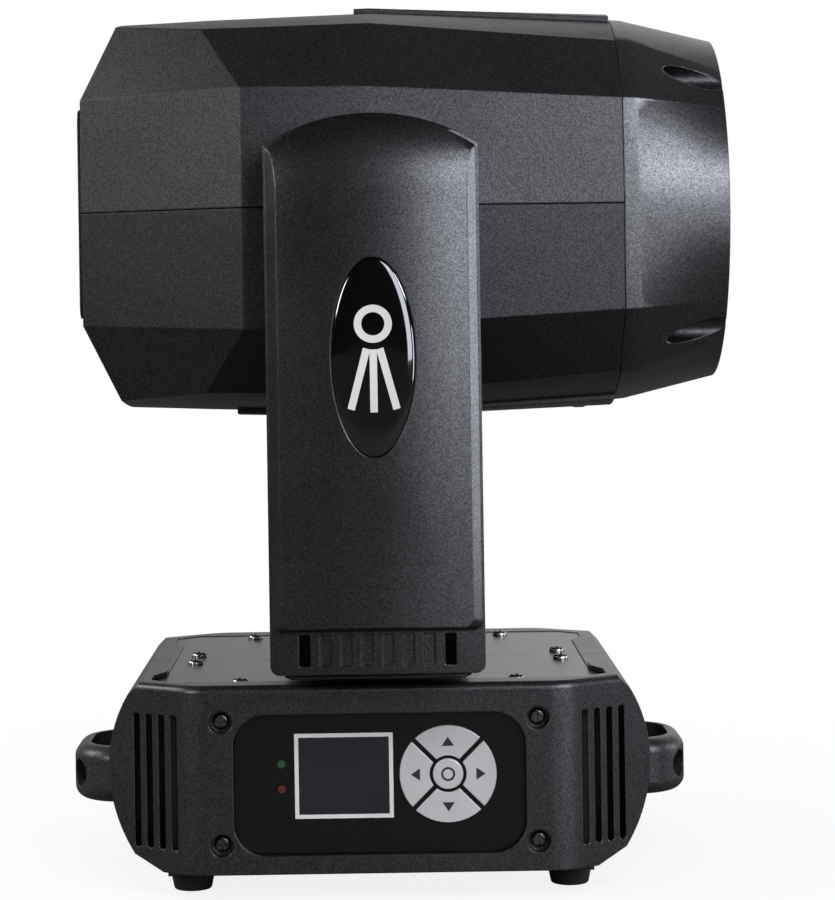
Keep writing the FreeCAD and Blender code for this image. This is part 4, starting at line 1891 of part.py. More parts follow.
def power_rocker():
    """Rocker of the power switch on its pin, drawn tipped to one side."""
    centre = rocker_axis()
    half_tall = SWITCH_HEIGHT / 2 - SWITCH_RIM - GAP * 3
    half_wide = SWITCH_WIDTH / 2 - SWITCH_RIM - GAP
    points = [Vector(0, 0, half_tall), Vector(0, ROCKER_END, half_tall), Vector(0, ROCKER_BOW, 0),
              Vector(0, ROCKER_END, -half_tall), Vector(0, 0, -half_tall), Vector(0, -ROCKER_BELLY, 0)]
    points = [p + centre - X_AXIS * half_wide for p in points]
    body = prism(points, X_AXIS * (half_wide * 2)).fuse(rocker_pin(ROCKER_PIN_RADIUS, SWITCH_WIDTH / 2 - GAP))
    return turned(body.removeSplitter(), centre, X_AXIS, ROCKER_SWING / 2)


# Electronics and cooling in the base

def power_supply():
    """Boxed power supply on the chassis floor."""
    wide, deep, tall = SUPPLY_SIZE
    across, along = SUPPLY_PLACE
    low = SHEET + GAP / 3
    return rounded_block(about(across, wide), about(along, deep), (low, low + tall), SHEET, X_AXIS)


def main_board():
    """Main control board on four standoffs."""
    wide, deep = BOARD_SIZE
    across, along = BOARD_PLACE
    low = SHEET + GAP / 3
    top = low + STANDOFF_HEIGHT
    pieces = [block(about(across, wide), about(along, deep), (top, top + BOARD_THICKNESS))]
    for x in (1, -1):
        for y in (1, -1):
            spot = Vector(across + x * (wide / 2 - STANDOFF_RADIUS),
                          along + y * (deep / 2 - STANDOFF_RADIUS), low)
            pieces.append(rod(STANDOFF_RADIUS, spot, spot + Z_AXIS * STANDOFF_HEIGHT))
    for share in CHIP_PLACE_SHARES:
        pieces.append(block(about(across + share * wide, deep / 3), about(along, deep / 3),
                            (top + BOARD_THICKNESS, top + BOARD_THICKNESS + CHIP_HEIGHT)))
    return joined(pieces)


def base_fan_place():
    """Centre of the base fan, against the right side panel."""
    return Vector(BASE_WAIST - SHEET - GAP * 2 - BASE_FAN_DEPTH / 2, BASE_FAN_ALONG,
                  SHEET + GAP + BASE_FAN_SIZE / 2)


def placed(shape, place):
    """A shape moved from the origin to its place."""
    shape.translate(place)
    return shape


def base_screws():
    """Every screw of the base: top plates, mouldings and handles."""
    return group([top_screws(), moulding_screws(-1), moulding_screws(1), handle_screws()])


def both_sides(make):
    """A piece made for each side, kept in one node."""
    return group([make(1), make(-1)])


def panel_sockets():
    """Signal input, signal output and fuse holder."""
    return group([signal_socket(SIGNAL_SOCKET_PLACES[0], True), signal_socket(SIGNAL_SOCKET_PLACES[1], False),
                  fuse_holder()])


def base_fan(part):
    """Frame or rotor of the base fan in its place."""
    return placed(part, base_fan_place())


def head_fan(part):
    """Frame or rotor of the head fan in its place."""
    return placed(part, head_fan_place())


def base_pieces():
    """Named pieces of the base."""
    return {
        "front_moulding": front_moulding(),
        "rear_moulding": rear_moulding(),
        "base_chassis": chassis(),
        "side_panels": both_sides(side_panel),
        "handles": both_sides(handle),
        "top_plates": both_sides(top_plate),
        "pan_collar": pan_collar(),
        "base_screws": base_screws(),
        "rubber_feet": feet(),
        "fascia": fascia(),
        "display": display(),
        "status_lights": status_lights(),
        "key_up": sector_key(0),
        "key_right": sector_key(1),
        "key_down": sector_key(2),
        "key_left": sector_key(3),
        "key_centre": centre_key(),
        "control_board": control_board(),
        "socket_panel": socket_panel(),
        "panel_sockets": panel_sockets(),
        "power_inlet": power_inlet(),
        "switch_frame": switch_frame(),
        "power_rocker": power_rocker(),
        "power_supply": power_supply(),
        "main_board": main_board(),
        "base_fan_frame": base_fan(fan_frame(BASE_FAN_SIZE, BASE_FAN_DEPTH, BASE_FAN_BORE_RADIUS,
                                             BASE_FAN_HUB_RADIUS)),
        "base_fan_rotor": base_fan(fan_rotor(BASE_FAN_HUB_RADIUS, BASE_FAN_BORE_RADIUS, BASE_FAN_DEPTH)),
        "pan_bracket": group([pan_bracket(), pan_bearing()]),
        "pan_motor": pan_motor(),
        "pan_motor_pulley": pan_motor_pulley(),
        "pan_belt": pan_belt(),
    }


def yoke_pieces():
    """Named pieces of the yoke."""
    return {
        "pan_hub": group([pan_hub(), pan_pulley()]),
        "yoke_frame": group([crossbar(), arm_plate(1), arm_plate(-1)]),
        "crossbar_covers": group([crossbar_upper_cover(), crossbar_lower_cover()]),
        "arm_outer_covers": both_sides(arm_outer_cover),
        "arm_inner_covers": both_sides(arm_inner_cover),
        "arm_badges": both_sides(arm_badge),
        "arm_screws": arm_screws(),
        "tilt_motor": tilt_motor(),
        "tilt_motor_pulley": tilt_motor_pulley(),
        "tilt_belt": tilt_belt(),
        "tilt_bearings": tilt_bearings(),
        "yoke_board": yoke_board(),
    }


def head_pieces():
    """Named pieces of the head."""
    return {
        "head_upper_shell": head_shell(1),
        "head_lower_shell": head_shell(-1),
        "front_bezel": front_bezel(),
        "head_screws": group([bezel_screws(), shell_screws()]),
        "front_lens": front_lens(),
        "lens_barrel": lens_barrel(),
        "rear_cover": rear_cover(),
        "heat_sink": heat_sink(),
        "light_engine": light_engine(),
        "head_chassis": group([head_chassis(), guide_rods()]),
        "wheel_motors": wheel_motors(),
        "colour_wheel": wheel(COLOUR_WHEEL_PLACE, -WHEEL_PITCH_RADIUS, WHEEL_HOLE_RADIUS),
        "pattern_wheel": wheel(PATTERN_WHEEL_PLACE, WHEEL_PITCH_RADIUS,
                               WHEEL_HOLE_RADIUS * PATTERN_HOLE_SHARE),
        "focus_carriage": group([focus_carriage(), focus_lens()]),
        "head_fan_frame": head_fan(fan_frame(FAN_SIZE, FAN_DEPTH, FAN_BORE_RADIUS, FAN_HUB_RADIUS)),
        "head_fan_rotor": head_fan(fan_rotor(FAN_HUB_RADIUS, FAN_BORE_RADIUS, FAN_DEPTH)),
        "tilt_axles": group([tilt_axles(), tilt_pulley()]),
    }


def main():
    """Write every piece."""
    os.makedirs("parts", exist_ok=True)
    for table in (base_pieces(), yoke_pieces(), head_pieces()):
        for name, shape in table.items():
            save(name, shape)
            print(name, shape.isValid(), len(shape.Solids), round(shape.Volume))


main()
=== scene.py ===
import json
import math

import bmesh
import bpy
from mathutils import Matrix, Vector


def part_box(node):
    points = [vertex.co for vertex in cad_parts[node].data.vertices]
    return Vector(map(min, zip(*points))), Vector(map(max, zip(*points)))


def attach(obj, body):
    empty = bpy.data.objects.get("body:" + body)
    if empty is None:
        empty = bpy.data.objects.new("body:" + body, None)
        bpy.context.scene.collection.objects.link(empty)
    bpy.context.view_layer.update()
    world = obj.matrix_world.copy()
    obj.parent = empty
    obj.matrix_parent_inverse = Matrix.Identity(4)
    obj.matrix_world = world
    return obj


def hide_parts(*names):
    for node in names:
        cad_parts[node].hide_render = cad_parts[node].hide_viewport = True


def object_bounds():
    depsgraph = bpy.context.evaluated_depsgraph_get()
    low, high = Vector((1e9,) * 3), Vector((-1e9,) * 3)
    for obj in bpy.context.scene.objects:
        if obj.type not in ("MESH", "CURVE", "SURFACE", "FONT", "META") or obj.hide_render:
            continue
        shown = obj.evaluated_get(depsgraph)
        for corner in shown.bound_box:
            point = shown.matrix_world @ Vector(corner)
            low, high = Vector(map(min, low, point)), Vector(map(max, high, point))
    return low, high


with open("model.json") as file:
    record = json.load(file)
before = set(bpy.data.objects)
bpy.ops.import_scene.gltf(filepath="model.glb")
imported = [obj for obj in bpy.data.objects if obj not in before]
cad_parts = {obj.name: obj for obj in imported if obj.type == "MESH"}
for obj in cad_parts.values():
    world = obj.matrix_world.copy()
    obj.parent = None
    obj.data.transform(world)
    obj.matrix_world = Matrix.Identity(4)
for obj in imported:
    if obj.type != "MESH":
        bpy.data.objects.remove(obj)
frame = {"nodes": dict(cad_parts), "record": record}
cad_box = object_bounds()
nodes = frame["nodes"]

# Lengths are in metres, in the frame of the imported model.

# Photograph: its long side in pixels, its middle, and the vanishing point of the view direction
PHOTO_LONG = 900.0
PHOTO_MIDDLE = (417.5, 450.0)
VANISHING_POINT = (372.5, 307.0)
FOCAL_PIXELS = 2631.0
SENSOR_WIDTH = 36.0
CAMERA_PLACE = Vector((0.0, -1.5, 0.300))
CAMERA_ROLL = -0.9
LIGHT_AIM = Vector((0.0, 0.0, 0.26))
COOL_LIGHT = (0.94, 0.97, 1.1)

# Stage: the floor and the surroundings show white, with the object's shadow near its feet
FLOOR_SIZE = 40.0
FLOOR_DROP = 0.0002
FLOOR_COLOUR = (0.8, 0.8, 0.8, 1)
FLOOR_BOUNCE_COLOUR = (0.13, 0.13, 0.13, 1)
FLOOR_WHITE_SHARE = 0.86
FLOOR_FADE_START = 0.16
FLOOR_FADE_END = 0.7
FLOOR_ROUGHNESS = 0.9
FLOOR_SHINE = 0.1
WORLD_LIGHT_SHARE = 0.7
DARK_SIDE_SHARE = 0.02
LEFT_SIDE_SHARE = 0.4
BEHIND_START = 0.3
BEHIND_END = 0.8
SIDE_BLEND = 0.12

# Badge: share of the dome's height at its rim, and a plain white beam symbol on it
BADGE_RIM_SHARE = 0.25
BADGE_POWER = 5.0
BADGE_RECESS = 0.0018
MARK_LIFT = 0.00006
MARK_HALF_WIDTH = 0.0019
RING_RISE = 0.0170
RING_RADIUS = 0.0078
RAY_START = 0.0130
RAY_END = 0.0450
RAY_SPREAD = 15.0
RING_STEPS = 48
RAY_STEPS = 12
DOME_RINGS = 22
DOME_STEPS = 96

# Printed marks of the display and the keys; outlines are shares of the symbol's size
MARK_DEPTH = 0.0001
BORDER_WIDTH = 0.0021
SYMBOL_SIZE = 0.0032
ARROW_OUTLINE = ((-1.0, -0.6), (1.0, -0.6), (0.0, 0.9))
KEY_RING_OUTER = 1.15
KEY_RING_INNER = 0.8

# Grain of the moulded plastics, their lighter edges (partly wear, partly painted highlight), and rounding
# of their edges in the shading
GRAIN_SCALE = 1700.0
GRAIN_RELIEF = 0.00004
GRAIN_GLINT = 0.38
FLECK_LIGHTNESS = 2.4
# Lightening of the edges: partly wear, partly a painted highlight along the rims
WEAR_AND_HIGHLIGHT_LIGHTNESS = 1.6
TINT_SCALE = 22.0
EDGE_RADIUS = 0.0012
ARM_CROWN = 0.9

# Patterns of the other materials: scale of the noise, and depth of the relief
WAVE_SCALE = 35.0
WAVE_RELIEF = 0.0001
SKIN_SCALE = 2200.0
PEEL_SCALE = 420.0
PEEL_RELIEF = 0.00012
COAT_SCALE = 1500.0
COAT_RELIEF = 0.00005
COAT_TINT_SCALE = 14.0
# Lightening of the coated edges: partly wear, partly a painted highlight
COAT_WEAR_AND_HIGHLIGHT_LIGHTNESS = 2.0
STREAK_SCALE = 700.0
STREAK_RELIEF = 0.00004
STREAK_STRETCH = (1.0, 1.0, 0.05)
TARNISH_SCALE = 40.0
SCREW_MARK_SCALE = 900.0
RUBBER_SCALE = 1100.0
RUBBER_RELIEF = 0.0001
DUST_SCALE = 60.0
DUST_LIGHTNESS = 3.0
TRACK_SCALE = 90.0
TRACK_GAP = 0.04
TRACK_LIGHTNESS = 1.3
COPPER_LIGHTNESS = 2.6
TRACK_RELIEF = 0.0001
GLASS_WAVE_SCALE = 30.0
GLASS_RELIEF = 0.0002
SPECKLE_SCALE = 900.0
SPECKLE_LIGHTNESS = 0.4
PIPE_GLOW = 0.02

# Range of a noise that is spread over a whole share
NOISE_LOW = 0.3
NOISE_HIGH = 0.7

# Edge rounding of the CAD nodes
WELD_DISTANCE = 0.000002
FLAT_ANGLE = 0.4
EDGE_ANGLE = 24.0
EDGE_STEPS = 3
SMOOTH_ANGLE = 40.0
EDGE_WIDTHS = {
    "head_upper_shell": 0.0016, "head_lower_shell": 0.0016, "front_bezel": 0.0012, "rear_cover": 0.0008,
    "arm_outer_covers": 0.0012, "arm_inner_covers": 0.0012, "crossbar_covers": 0.0010,
    "front_moulding": 0.0014, "rear_moulding": 0.0014, "top_plates": 0.0004, "handles": 0.0008,
    "key_up": 0.0006, "key_right": 0.0006, "key_down": 0.0006, "key_left": 0.0006, "key_centre": 0.0007,
    "rubber_feet": 0.0010, "side_panels": 0.0003, "power_rocker": 0.0005, "switch_frame": 0.0004,
    "power_inlet": 0.0004, "fascia": 0.0003,
}


def linear(red, green, blue):
    """Linear colour of an sRGB colour given from 0 to 255."""
    values = []
    for value in (red, green, blue):
        share = value / 255
        values.append(share / 12.92 if share <= 0.04045 else ((share + 0.055) / 1.055) ** 2.4)
    return (*values, 1)


# Materials

class Nodes:
    """Node tree of a material or the world, with short ways to add to it."""

    def __init__(self, owner, shader="Principled BSDF", coordinates="Object"):
        """The owner's own shader, and the coordinates that its patterns use."""
        owner.use_nodes = True
        self.owner = owner
        self.tree = owner.node_tree
        self.shader = self.tree.nodes[shader]
        self.place = self.add("ShaderNodeTexCoord").outputs[coordinates]

    def add(self, kind, **settings):
        """A new node with its properties set."""
        node = self.tree.nodes.new(kind)
        for key, value in settings.items():
            setattr(node, key, value)
        return node

    def link(self, source, target):
        """Connect an output to an input."""
        self.tree.links.new(source, target)

    def set(self, **values):
        """Set inputs of the shader by name, with underscores for spaces."""
        for key, value in values.items():
            self.shader.inputs[key.replace("_", " ")].default_value = value

    def noise(self, scale, detail, stretch=None):
        """Noise over the object's own coordinates, stretched along an axis if asked."""
        place = self.place
        if stretch:
            mapping = self.add("ShaderNodeMapping")
            mapping.inputs["Scale"].default_value = stretch
            self.link(place, mapping.inputs["Vector"])
            place = mapping.outputs["Vector"]
        node = self.add("ShaderNodeTexNoise")
        node.inputs["Scale"].default_value = scale
        node.inputs["Detail"].default_value = detail
        self.link(place, node.inputs["Vector"])
        return node.outputs["Fac"]

    def cells(self, scale):
        """Random share of each grain of a fine cell pattern."""
        node = self.add("ShaderNodeTexVoronoi")
        node.inputs["Scale"].default_value = scale
        self.link(self.place, node.inputs["Vector"])
        return node.outputs["Color"]

    def axes(self):
        """The three parts of the coordinates."""
        node = self.add("ShaderNodeSeparateXYZ")
        self.link(self.place, node.inputs["Vector"])
        return node.outputs

    def spread(self, source, low, high, start=NOISE_LOW, end=NOISE_HIGH):
        """Map a share between start and end onto a range."""
        node = self.add("ShaderNodeMapRange")
        for key, value in (("From Min", start), ("From Max", end), ("To Min", low), ("To Max", high)):
            node.inputs[key].default_value = value
        self.link(source, node.inputs["Value"])
        return node.outputs["Result"]

    def mixed(self, share, first, second):
        """Mix of two colours by a share; either may be an output."""
        node = self.add("ShaderNodeMix", data_type="RGBA")
        self.link(share, node.inputs["Factor"])
        for name, value in (("A_Color", first), ("B_Color", second)):
            socket = next(item for item in node.inputs if item.identifier == name)
            if isinstance(value, tuple):
                socket.default_value = value
            else:
                self.link(value, socket)
        return next(item for item in node.outputs if item.identifier == "Result_Color")

    def mottled(self, source, colour, darker, lighter):
        """Colour that goes with a noise from a darker to a lighter shade of itself."""
        return self.mixed(self.spread(source, 0, 1), scaled(colour, darker), scaled(colour, lighter))

    def joined(self, operation, first, second):
        """Result of a math operation on two values; either may be an output."""
        node = self.add("ShaderNodeMath", operation=operation)
        for index, value in enumerate((first, second)):
            if isinstance(value, (int, float)):
                node.inputs[index].default_value = value
            else:
                self.link(value, node.inputs[index])
        return node.outputs[0]

    def product(self, first, second):
        """One value times another."""
        return self.joined("MULTIPLY", first, second)

    def larger(self, first, second):
        """The larger of two values."""
        return self.joined("MAXIMUM", first, second)

    def bump(self, height, distance, strength, after=None):
        """Bump from a height, on top of an earlier one if given."""
        node = self.add("ShaderNodeBump")
        node.inputs["Strength"].default_value = strength
        node.inputs["Distance"].default_value = distance
        self.link(height, node.inputs["Height"])
        if after:
            self.link(after, node.inputs["Normal"])
        return node.outputs["Normal"]

    def edge_wear_and_highlight(self, radius):
        """Share near sharp edges, where the rounded normal leaves the true one, and that rounded normal;
        the share lightens edges as wear and painted highlight.
        """
        rounded = self.add("ShaderNodeBevel", samples=4)
        rounded.inputs["Radius"].default_value = radius
        true = self.add("ShaderNodeNewGeometry")
        dot = self.add("ShaderNodeVectorMath", operation="DOT_PRODUCT")
        self.link(rounded.outputs["Normal"], dot.inputs[0])
        self.link(true.outputs["Normal"], dot.inputs[1])
        share = self.spread(dot.outputs["Value"], 1, 0, start=0.75, end=0.98)
        return share, rounded.outputs["Normal"]


def scaled(colour, factor):
    """The colour made lighter or darker."""
    return (*[value * factor for value in colour[:3]], 1)


def moulded(name, colour, roughness, shine=0.5, crown=0.0):
    """Spark-eroded plastic: fine glinting grain and lighter edges, partly wear and partly painted
    highlight; crown bows it along X.
    """
    nodes_of = Nodes(bpy.data.materials.new(name))
    nodes_of.set(IOR=1.5)
    cells = nodes_of.cells(GRAIN_SCALE)
    grain = nodes_of.noise(GRAIN_SCALE, detail=1.0)
    broad = nodes_of.noise(TINT_SCALE, detail=4.0)
    base = nodes_of.mottled(broad, colour, darker=0.88, lighter=1.12)
    flecks = nodes_of.spread(cells, 0, 1, start=0.55, end=0.85)
    base = nodes_of.mixed(flecks, base, scaled(colour, FLECK_LIGHTNESS))
    edges, rounded = nodes_of.edge_wear_and_highlight(EDGE_RADIUS)
    # Edges lighter in the base colour: partly wear, partly a painted highlight
    wear_and_highlight = nodes_of.spread(edges, 0, 0.6, start=0.1, end=0.9)
    base = nodes_of.mixed(wear_and_highlight, base, scaled(colour, WEAR_AND_HIGHLIGHT_LIGHTNESS))
    nodes_of.link(base, nodes_of.shader.inputs["Base Color"])
    dull = shine * (1 - GRAIN_GLINT)
    bright = shine * (1 + GRAIN_GLINT)
    nodes_of.link(nodes_of.spread(cells, dull, bright, start=0.2, end=0.8),
                  nodes_of.shader.inputs["Specular IOR Level"])
    nodes_of.link(nodes_of.spread(broad, roughness - 0.02, roughness + 0.02),
                  nodes_of.shader.inputs["Roughness"])
    if crown:
        across = nodes_of.axes()["X"]
        fall = nodes_of.product(nodes_of.product(across, across), -crown)
        rounded = nodes_of.bump(fall, 1.0, strength=1.0, after=rounded)
    nodes_of.link(nodes_of.bump(grain, GRAIN_RELIEF, strength=0.5, after=rounded),
                  nodes_of.shader.inputs["Normal"])
    return nodes_of.owner


def smooth_plastic(name, colour, roughness, **values):
    """Smooth glossy plastic with faint waves and a very fine skin."""
    nodes_of = Nodes(bpy.data.materials.new(name))
    nodes_of.set(IOR=1.48, **values)
    broad = nodes_of.noise(WAVE_SCALE, detail=3.0)
    fine = nodes_of.noise(SKIN_SCALE, detail=1.0)
    base = nodes_of.mottled(broad, colour, darker=0.95, lighter=1.05)
    nodes_of.link(base, nodes_of.shader.inputs["Base Color"])
    nodes_of.link(nodes_of.spread(fine, roughness * 0.9, roughness * 1.15),
                  nodes_of.shader.inputs["Roughness"])
    nodes_of.link(nodes_of.bump(broad, WAVE_RELIEF, strength=0.12), nodes_of.shader.inputs["Normal"])
    return nodes_of.owner


def coated_metal(name, colour, roughness):
    """Powder-coated sheet: soft orange peel and lighter edges, partly wear and partly painted highlight."""
    nodes_of = Nodes(bpy.data.materials.new(name))
    nodes_of.set(IOR=1.5)
    peel = nodes_of.noise(PEEL_SCALE, detail=3.0)
    fine = nodes_of.noise(COAT_SCALE, detail=1.0)
    broad = nodes_of.noise(COAT_TINT_SCALE, detail=4.0)
    base = nodes_of.mottled(broad, colour, darker=0.85, lighter=1.15)
    edges, rounded = nodes_of.edge_wear_and_highlight(EDGE_RADIUS / 2)
    # Edges lighter in the base colour: partly wear, partly a painted highlight
    wear_and_highlight = nodes_of.spread(edges, 0, 0.5, start=0.1, end=0.9)
    base = nodes_of.mixed(wear_and_highlight, base, scaled(colour, COAT_WEAR_AND_HIGHLIGHT_LIGHTNESS))
    nodes_of.link(base, nodes_of.shader.inputs["Base Color"])
    nodes_of.link(nodes_of.spread(fine, roughness - 0.05, roughness + 0.1),
                  nodes_of.shader.inputs["Roughness"])
    first = nodes_of.bump(peel, PEEL_RELIEF, strength=0.3, after=rounded)
    nodes_of.link(nodes_of.bump(fine, COAT_RELIEF, strength=0.25, after=first),
                  nodes_of.shader.inputs["Normal"])
    return nodes_of.owner


def bare_metal(name, colour, roughness):
    """Bare metal with directional tool marks and a little tarnish."""
    nodes_of = Nodes(bpy.data.materials.new(name))
    nodes_of.set(Metallic=1.0)
    streaks = nodes_of.noise(STREAK_SCALE, detail=3.0, stretch=STREAK_STRETCH)
    tarnish = nodes_of.noise(TARNISH_SCALE, detail=3.0)
    base = nodes_of.mottled(tarnish, colour, darker=0.8, lighter=1)
    nodes_of.link(base, nodes_of.shader.inputs["Base Color"])
    nodes_of.link(nodes_of.spread(streaks, roughness - 0.08, roughness + 0.12),
                  nodes_of.shader.inputs["Roughness"])
    nodes_of.link(nodes_of.bump(streaks, STREAK_RELIEF, strength=0.25), nodes_of.shader.inputs["Normal"])
    return nodes_of.owner


def screw_metal(name, colour, bright, roughness):
    """Screws in the darker colour, except those at the height of the base's top plates, which get the
    lighter one.
    """
    nodes_of = Nodes(bpy.data.materials.new(name))
    nodes_of.set(Metallic=1.0)
    low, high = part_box("top_plates")
    level = nodes_of.add("ShaderNodeMath", operation="COMPARE")
    level.inputs[1].default_value = high.z
    level.inputs[2].default_value = high.z - low.z
    nodes_of.link(nodes_of.axes()["Z"], level.inputs[0])
    marks = nodes_of.noise(SCREW_MARK_SCALE, detail=3.0)
    # Darker colour everywhere except at the top plates' height
    base = nodes_of.mixed(level.outputs["Value"], colour, bright)
    nodes_of.link(base, nodes_of.shader.inputs["Base Color"])
    nodes_of.link(nodes_of.spread(marks, roughness - 0.06, roughness + 0.1),
                  nodes_of.shader.inputs["Roughness"])
    nodes_of.link(nodes_of.bump(marks, STREAK_RELIEF, strength=0.2), nodes_of.shader.inputs["Normal"])
    return nodes_of.owner


def rubber(name, colour):
    """Matt rubber with a fine, slightly dusty skin."""
    nodes_of = Nodes(bpy.data.materials.new(name))
    nodes_of.set(IOR=1.45)
    fine = nodes_of.noise(RUBBER_SCALE, detail=3.0)
    dust = nodes_of.spread(nodes_of.noise(DUST_SCALE, detail=4.0), 0, 0.5, start=0.45, end=0.75)
    base = nodes_of.mixed(dust, colour, scaled(colour, DUST_LIGHTNESS))
    nodes_of.link(base, nodes_of.shader.inputs["Base Color"])
    nodes_of.link(nodes_of.spread(fine, 0.72, 0.92), nodes_of.shader.inputs["Roughness"])
    nodes_of.link(nodes_of.bump(fine, RUBBER_RELIEF, strength=0.4), nodes_of.shader.inputs["Normal"])
    return nodes_of.owner


def circuit_board(name, colour):
    """Solder mask with lighter copper tracks under it."""
    nodes_of = Nodes(bpy.data.materials.new(name))
    nodes_of.set(IOR=1.5, Roughness=0.4)
    tracks = nodes_of.add("ShaderNodeTexBrick")
    tracks.inputs["Scale"].default_value = TRACK_SCALE
    tracks.inputs["Color1"].default_value = colour
    tracks.inputs["Color2"].default_value = scaled(colour, TRACK_LIGHTNESS)
    tracks.inputs["Mortar"].default_value = scaled(colour, COPPER_LIGHTNESS)
    tracks.inputs["Mortar Size"].default_value = TRACK_GAP
    nodes_of.link(nodes_of.place, tracks.inputs["Vector"])
    nodes_of.link(tracks.outputs["Color"], nodes_of.shader.inputs["Base Color"])
    nodes_of.link(nodes_of.bump(tracks.outputs["Fac"], TRACK_RELIEF, strength=0.2),
                  nodes_of.shader.inputs["Normal"])
    return nodes_of.owner


def lens_glass(name, colour):
    """Clear coated glass with a faint wave."""
    nodes_of = Nodes(bpy.data.materials.new(name))
    nodes_of.set(Base_Color=colour, Transmission_Weight=1.0, IOR=1.5, Roughness=0.02, Coat_Weight=0.5,
                 Coat_Roughness=0.03)
    wave = nodes_of.noise(GLASS_WAVE_SCALE, detail=1.0)
    nodes_of.link(nodes_of.bump(wave, GLASS_RELIEF, strength=0.05), nodes_of.shader.inputs["Normal"])
    return nodes_of.owner


def light_pipe(name, upper, lower, split):
    """Two tinted light pipes: one colour above the split height and another below it."""
    nodes_of = Nodes(bpy.data.materials.new(name))
    nodes_of.set(Roughness=0.25, IOR=1.5, Coat_Weight=0.6, Emission_Strength=PIPE_GLOW)
    above = nodes_of.joined("GREATER_THAN", nodes_of.axes()["Z"], split)
    colour = nodes_of.mixed(above, lower, upper)
    speckles = nodes_of.spread(nodes_of.noise(SPECKLE_SCALE, detail=2.0), 0, 0.4)
    base = nodes_of.mixed(speckles, colour, scaled(upper, SPECKLE_LIGHTNESS))
    nodes_of.link(base, nodes_of.shader.inputs["Base Color"])
    nodes_of.link(colour, nodes_of.shader.inputs["Emission Color"])
    return nodes_of.owner


lamp_low, lamp_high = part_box("status_lights")
LAMP_SPLIT = (lamp_low.z + lamp_high.z) / 2

materials = {
    "moulded_black": moulded("moulded_black", linear(18, 18, 19), roughness=0.37, shine=0.7),
    "head_plastic": moulded("head_plastic", linear(18, 18, 20), roughness=0.42),
    "bezel_plastic": moulded("bezel_plastic", linear(18, 18, 20), roughness=0.36, shine=0.7),
    "arm_plastic": moulded("arm_plastic", linear(9, 9, 10), roughness=0.29, shine=0.8, crown=ARM_CROWN),
    "handle_plastic": moulded("handle_plastic", linear(36, 36, 37), roughness=0.4),
    "chassis_steel": coated_metal("chassis_steel", linear(30, 30, 31), roughness=0.5),
    "plate_steel": coated_metal("plate_steel", linear(50, 48, 47), roughness=0.28),
    "frame_steel": coated_metal("frame_steel", linear(44, 44, 44), roughness=0.45),
    "screw_steel": screw_metal("screw_steel", linear(100, 97, 94), linear(175, 170, 162), roughness=0.27),
    "rubber": rubber("rubber", linear(20, 20, 20)),
    "belt_rubber": rubber("belt_rubber", linear(26, 26, 26)),
    "fascia_gloss": smooth_plastic("fascia_gloss", linear(14, 14, 15), roughness=0.22,
                                   Specular_IOR_Level=0.4),
    "display_glass": smooth_plastic("display_glass", linear(30, 34, 43), roughness=0.12, Coat_Weight=0.4),
    "light_pipe": light_pipe("light_pipe", linear(34, 86, 52), linear(104, 26, 32), LAMP_SPLIT),
    "key_silver": smooth_plastic("key_silver", linear(214, 213, 217), roughness=0.3, Metallic=0.15),
    "badge_gloss": smooth_plastic("badge_gloss", linear(9, 9, 10), roughness=0.06, Coat_Weight=1.0,
                                  Coat_Roughness=0.03),
    "socket_plastic": moulded("socket_plastic", linear(24, 24, 25), roughness=0.35),
    "rocker_red": smooth_plastic("rocker_red", linear(150, 22, 20), roughness=0.2),
    "circuit_board": circuit_board("circuit_board", linear(18, 84, 44)),
    "supply_metal": bare_metal("supply_metal", linear(190, 192, 194), roughness=0.35),
    "fan_plastic": moulded("fan_plastic", linear(26, 26, 27), roughness=0.4),
    "motor_metal": bare_metal("motor_metal", linear(90, 90, 94), roughness=0.4),
    "pulley_metal": bare_metal("pulley_metal", linear(196, 198, 200), roughness=0.3),
    "bearing_brass": bare_metal("bearing_brass", linear(196, 160, 92), roughness=0.3),
    "sink_aluminium": bare_metal("sink_aluminium", linear(200, 202, 204), roughness=0.32),
    "engine_board": bare_metal("engine_board", linear(215, 214, 205), roughness=0.45),
    "lens_glass": lens_glass("lens_glass", (0.93, 0.96, 0.98, 1)),
    "barrel_black": coated_metal("barrel_black", linear(30, 30, 30), roughness=0.5),
    "wheel_metal": bare_metal("wheel_metal", linear(180, 182, 184), roughness=0.35),
}
MARK_WHITE = smooth_plastic("mark_white", linear(236, 236, 236), roughness=0.35)
MARK_DARK = smooth_plastic("mark_dark", linear(40, 40, 42), roughness=0.4)


def paint(piece, material):
    """Give a piece one material."""
    piece.data.materials.clear()
    piece.data.materials.append(material)


def soften(name, width):
    """Round a CAD node's sharp edges with modifiers."""
    node = nodes[name]
    weld = node.modifiers.new("weld", "WELD")
    weld.merge_threshold = WELD_DISTANCE
    flat = node.modifiers.new("flat", "DECIMATE")
    flat.decimate_type = "DISSOLVE"
    flat.angle_limit = math.radians(FLAT_ANGLE)
    round_off = node.modifiers.new("round", "BEVEL")
    round_off.width = width
    round_off.segments = EDGE_STEPS
    round_off.limit_method = "ANGLE"
    round_off.angle_limit = math.radians(EDGE_ANGLE)
    round_off.use_clamp_overlap = True
    round_off.harden_normals = False
    even = node.modifiers.new("even", "WEIGHTED_NORMAL")
    even.keep_sharp = False


def dress_nodes():
    """Material for every CAD node, and rounding for the nodes listed in EDGE_WIDTHS."""
    for part in frame["record"]["subparts"]:
        paint(nodes[part["node"]], materials[part["material_slot"]])
    for name, width in EDGE_WIDTHS.items():
        soften(name, width)


# New pieces

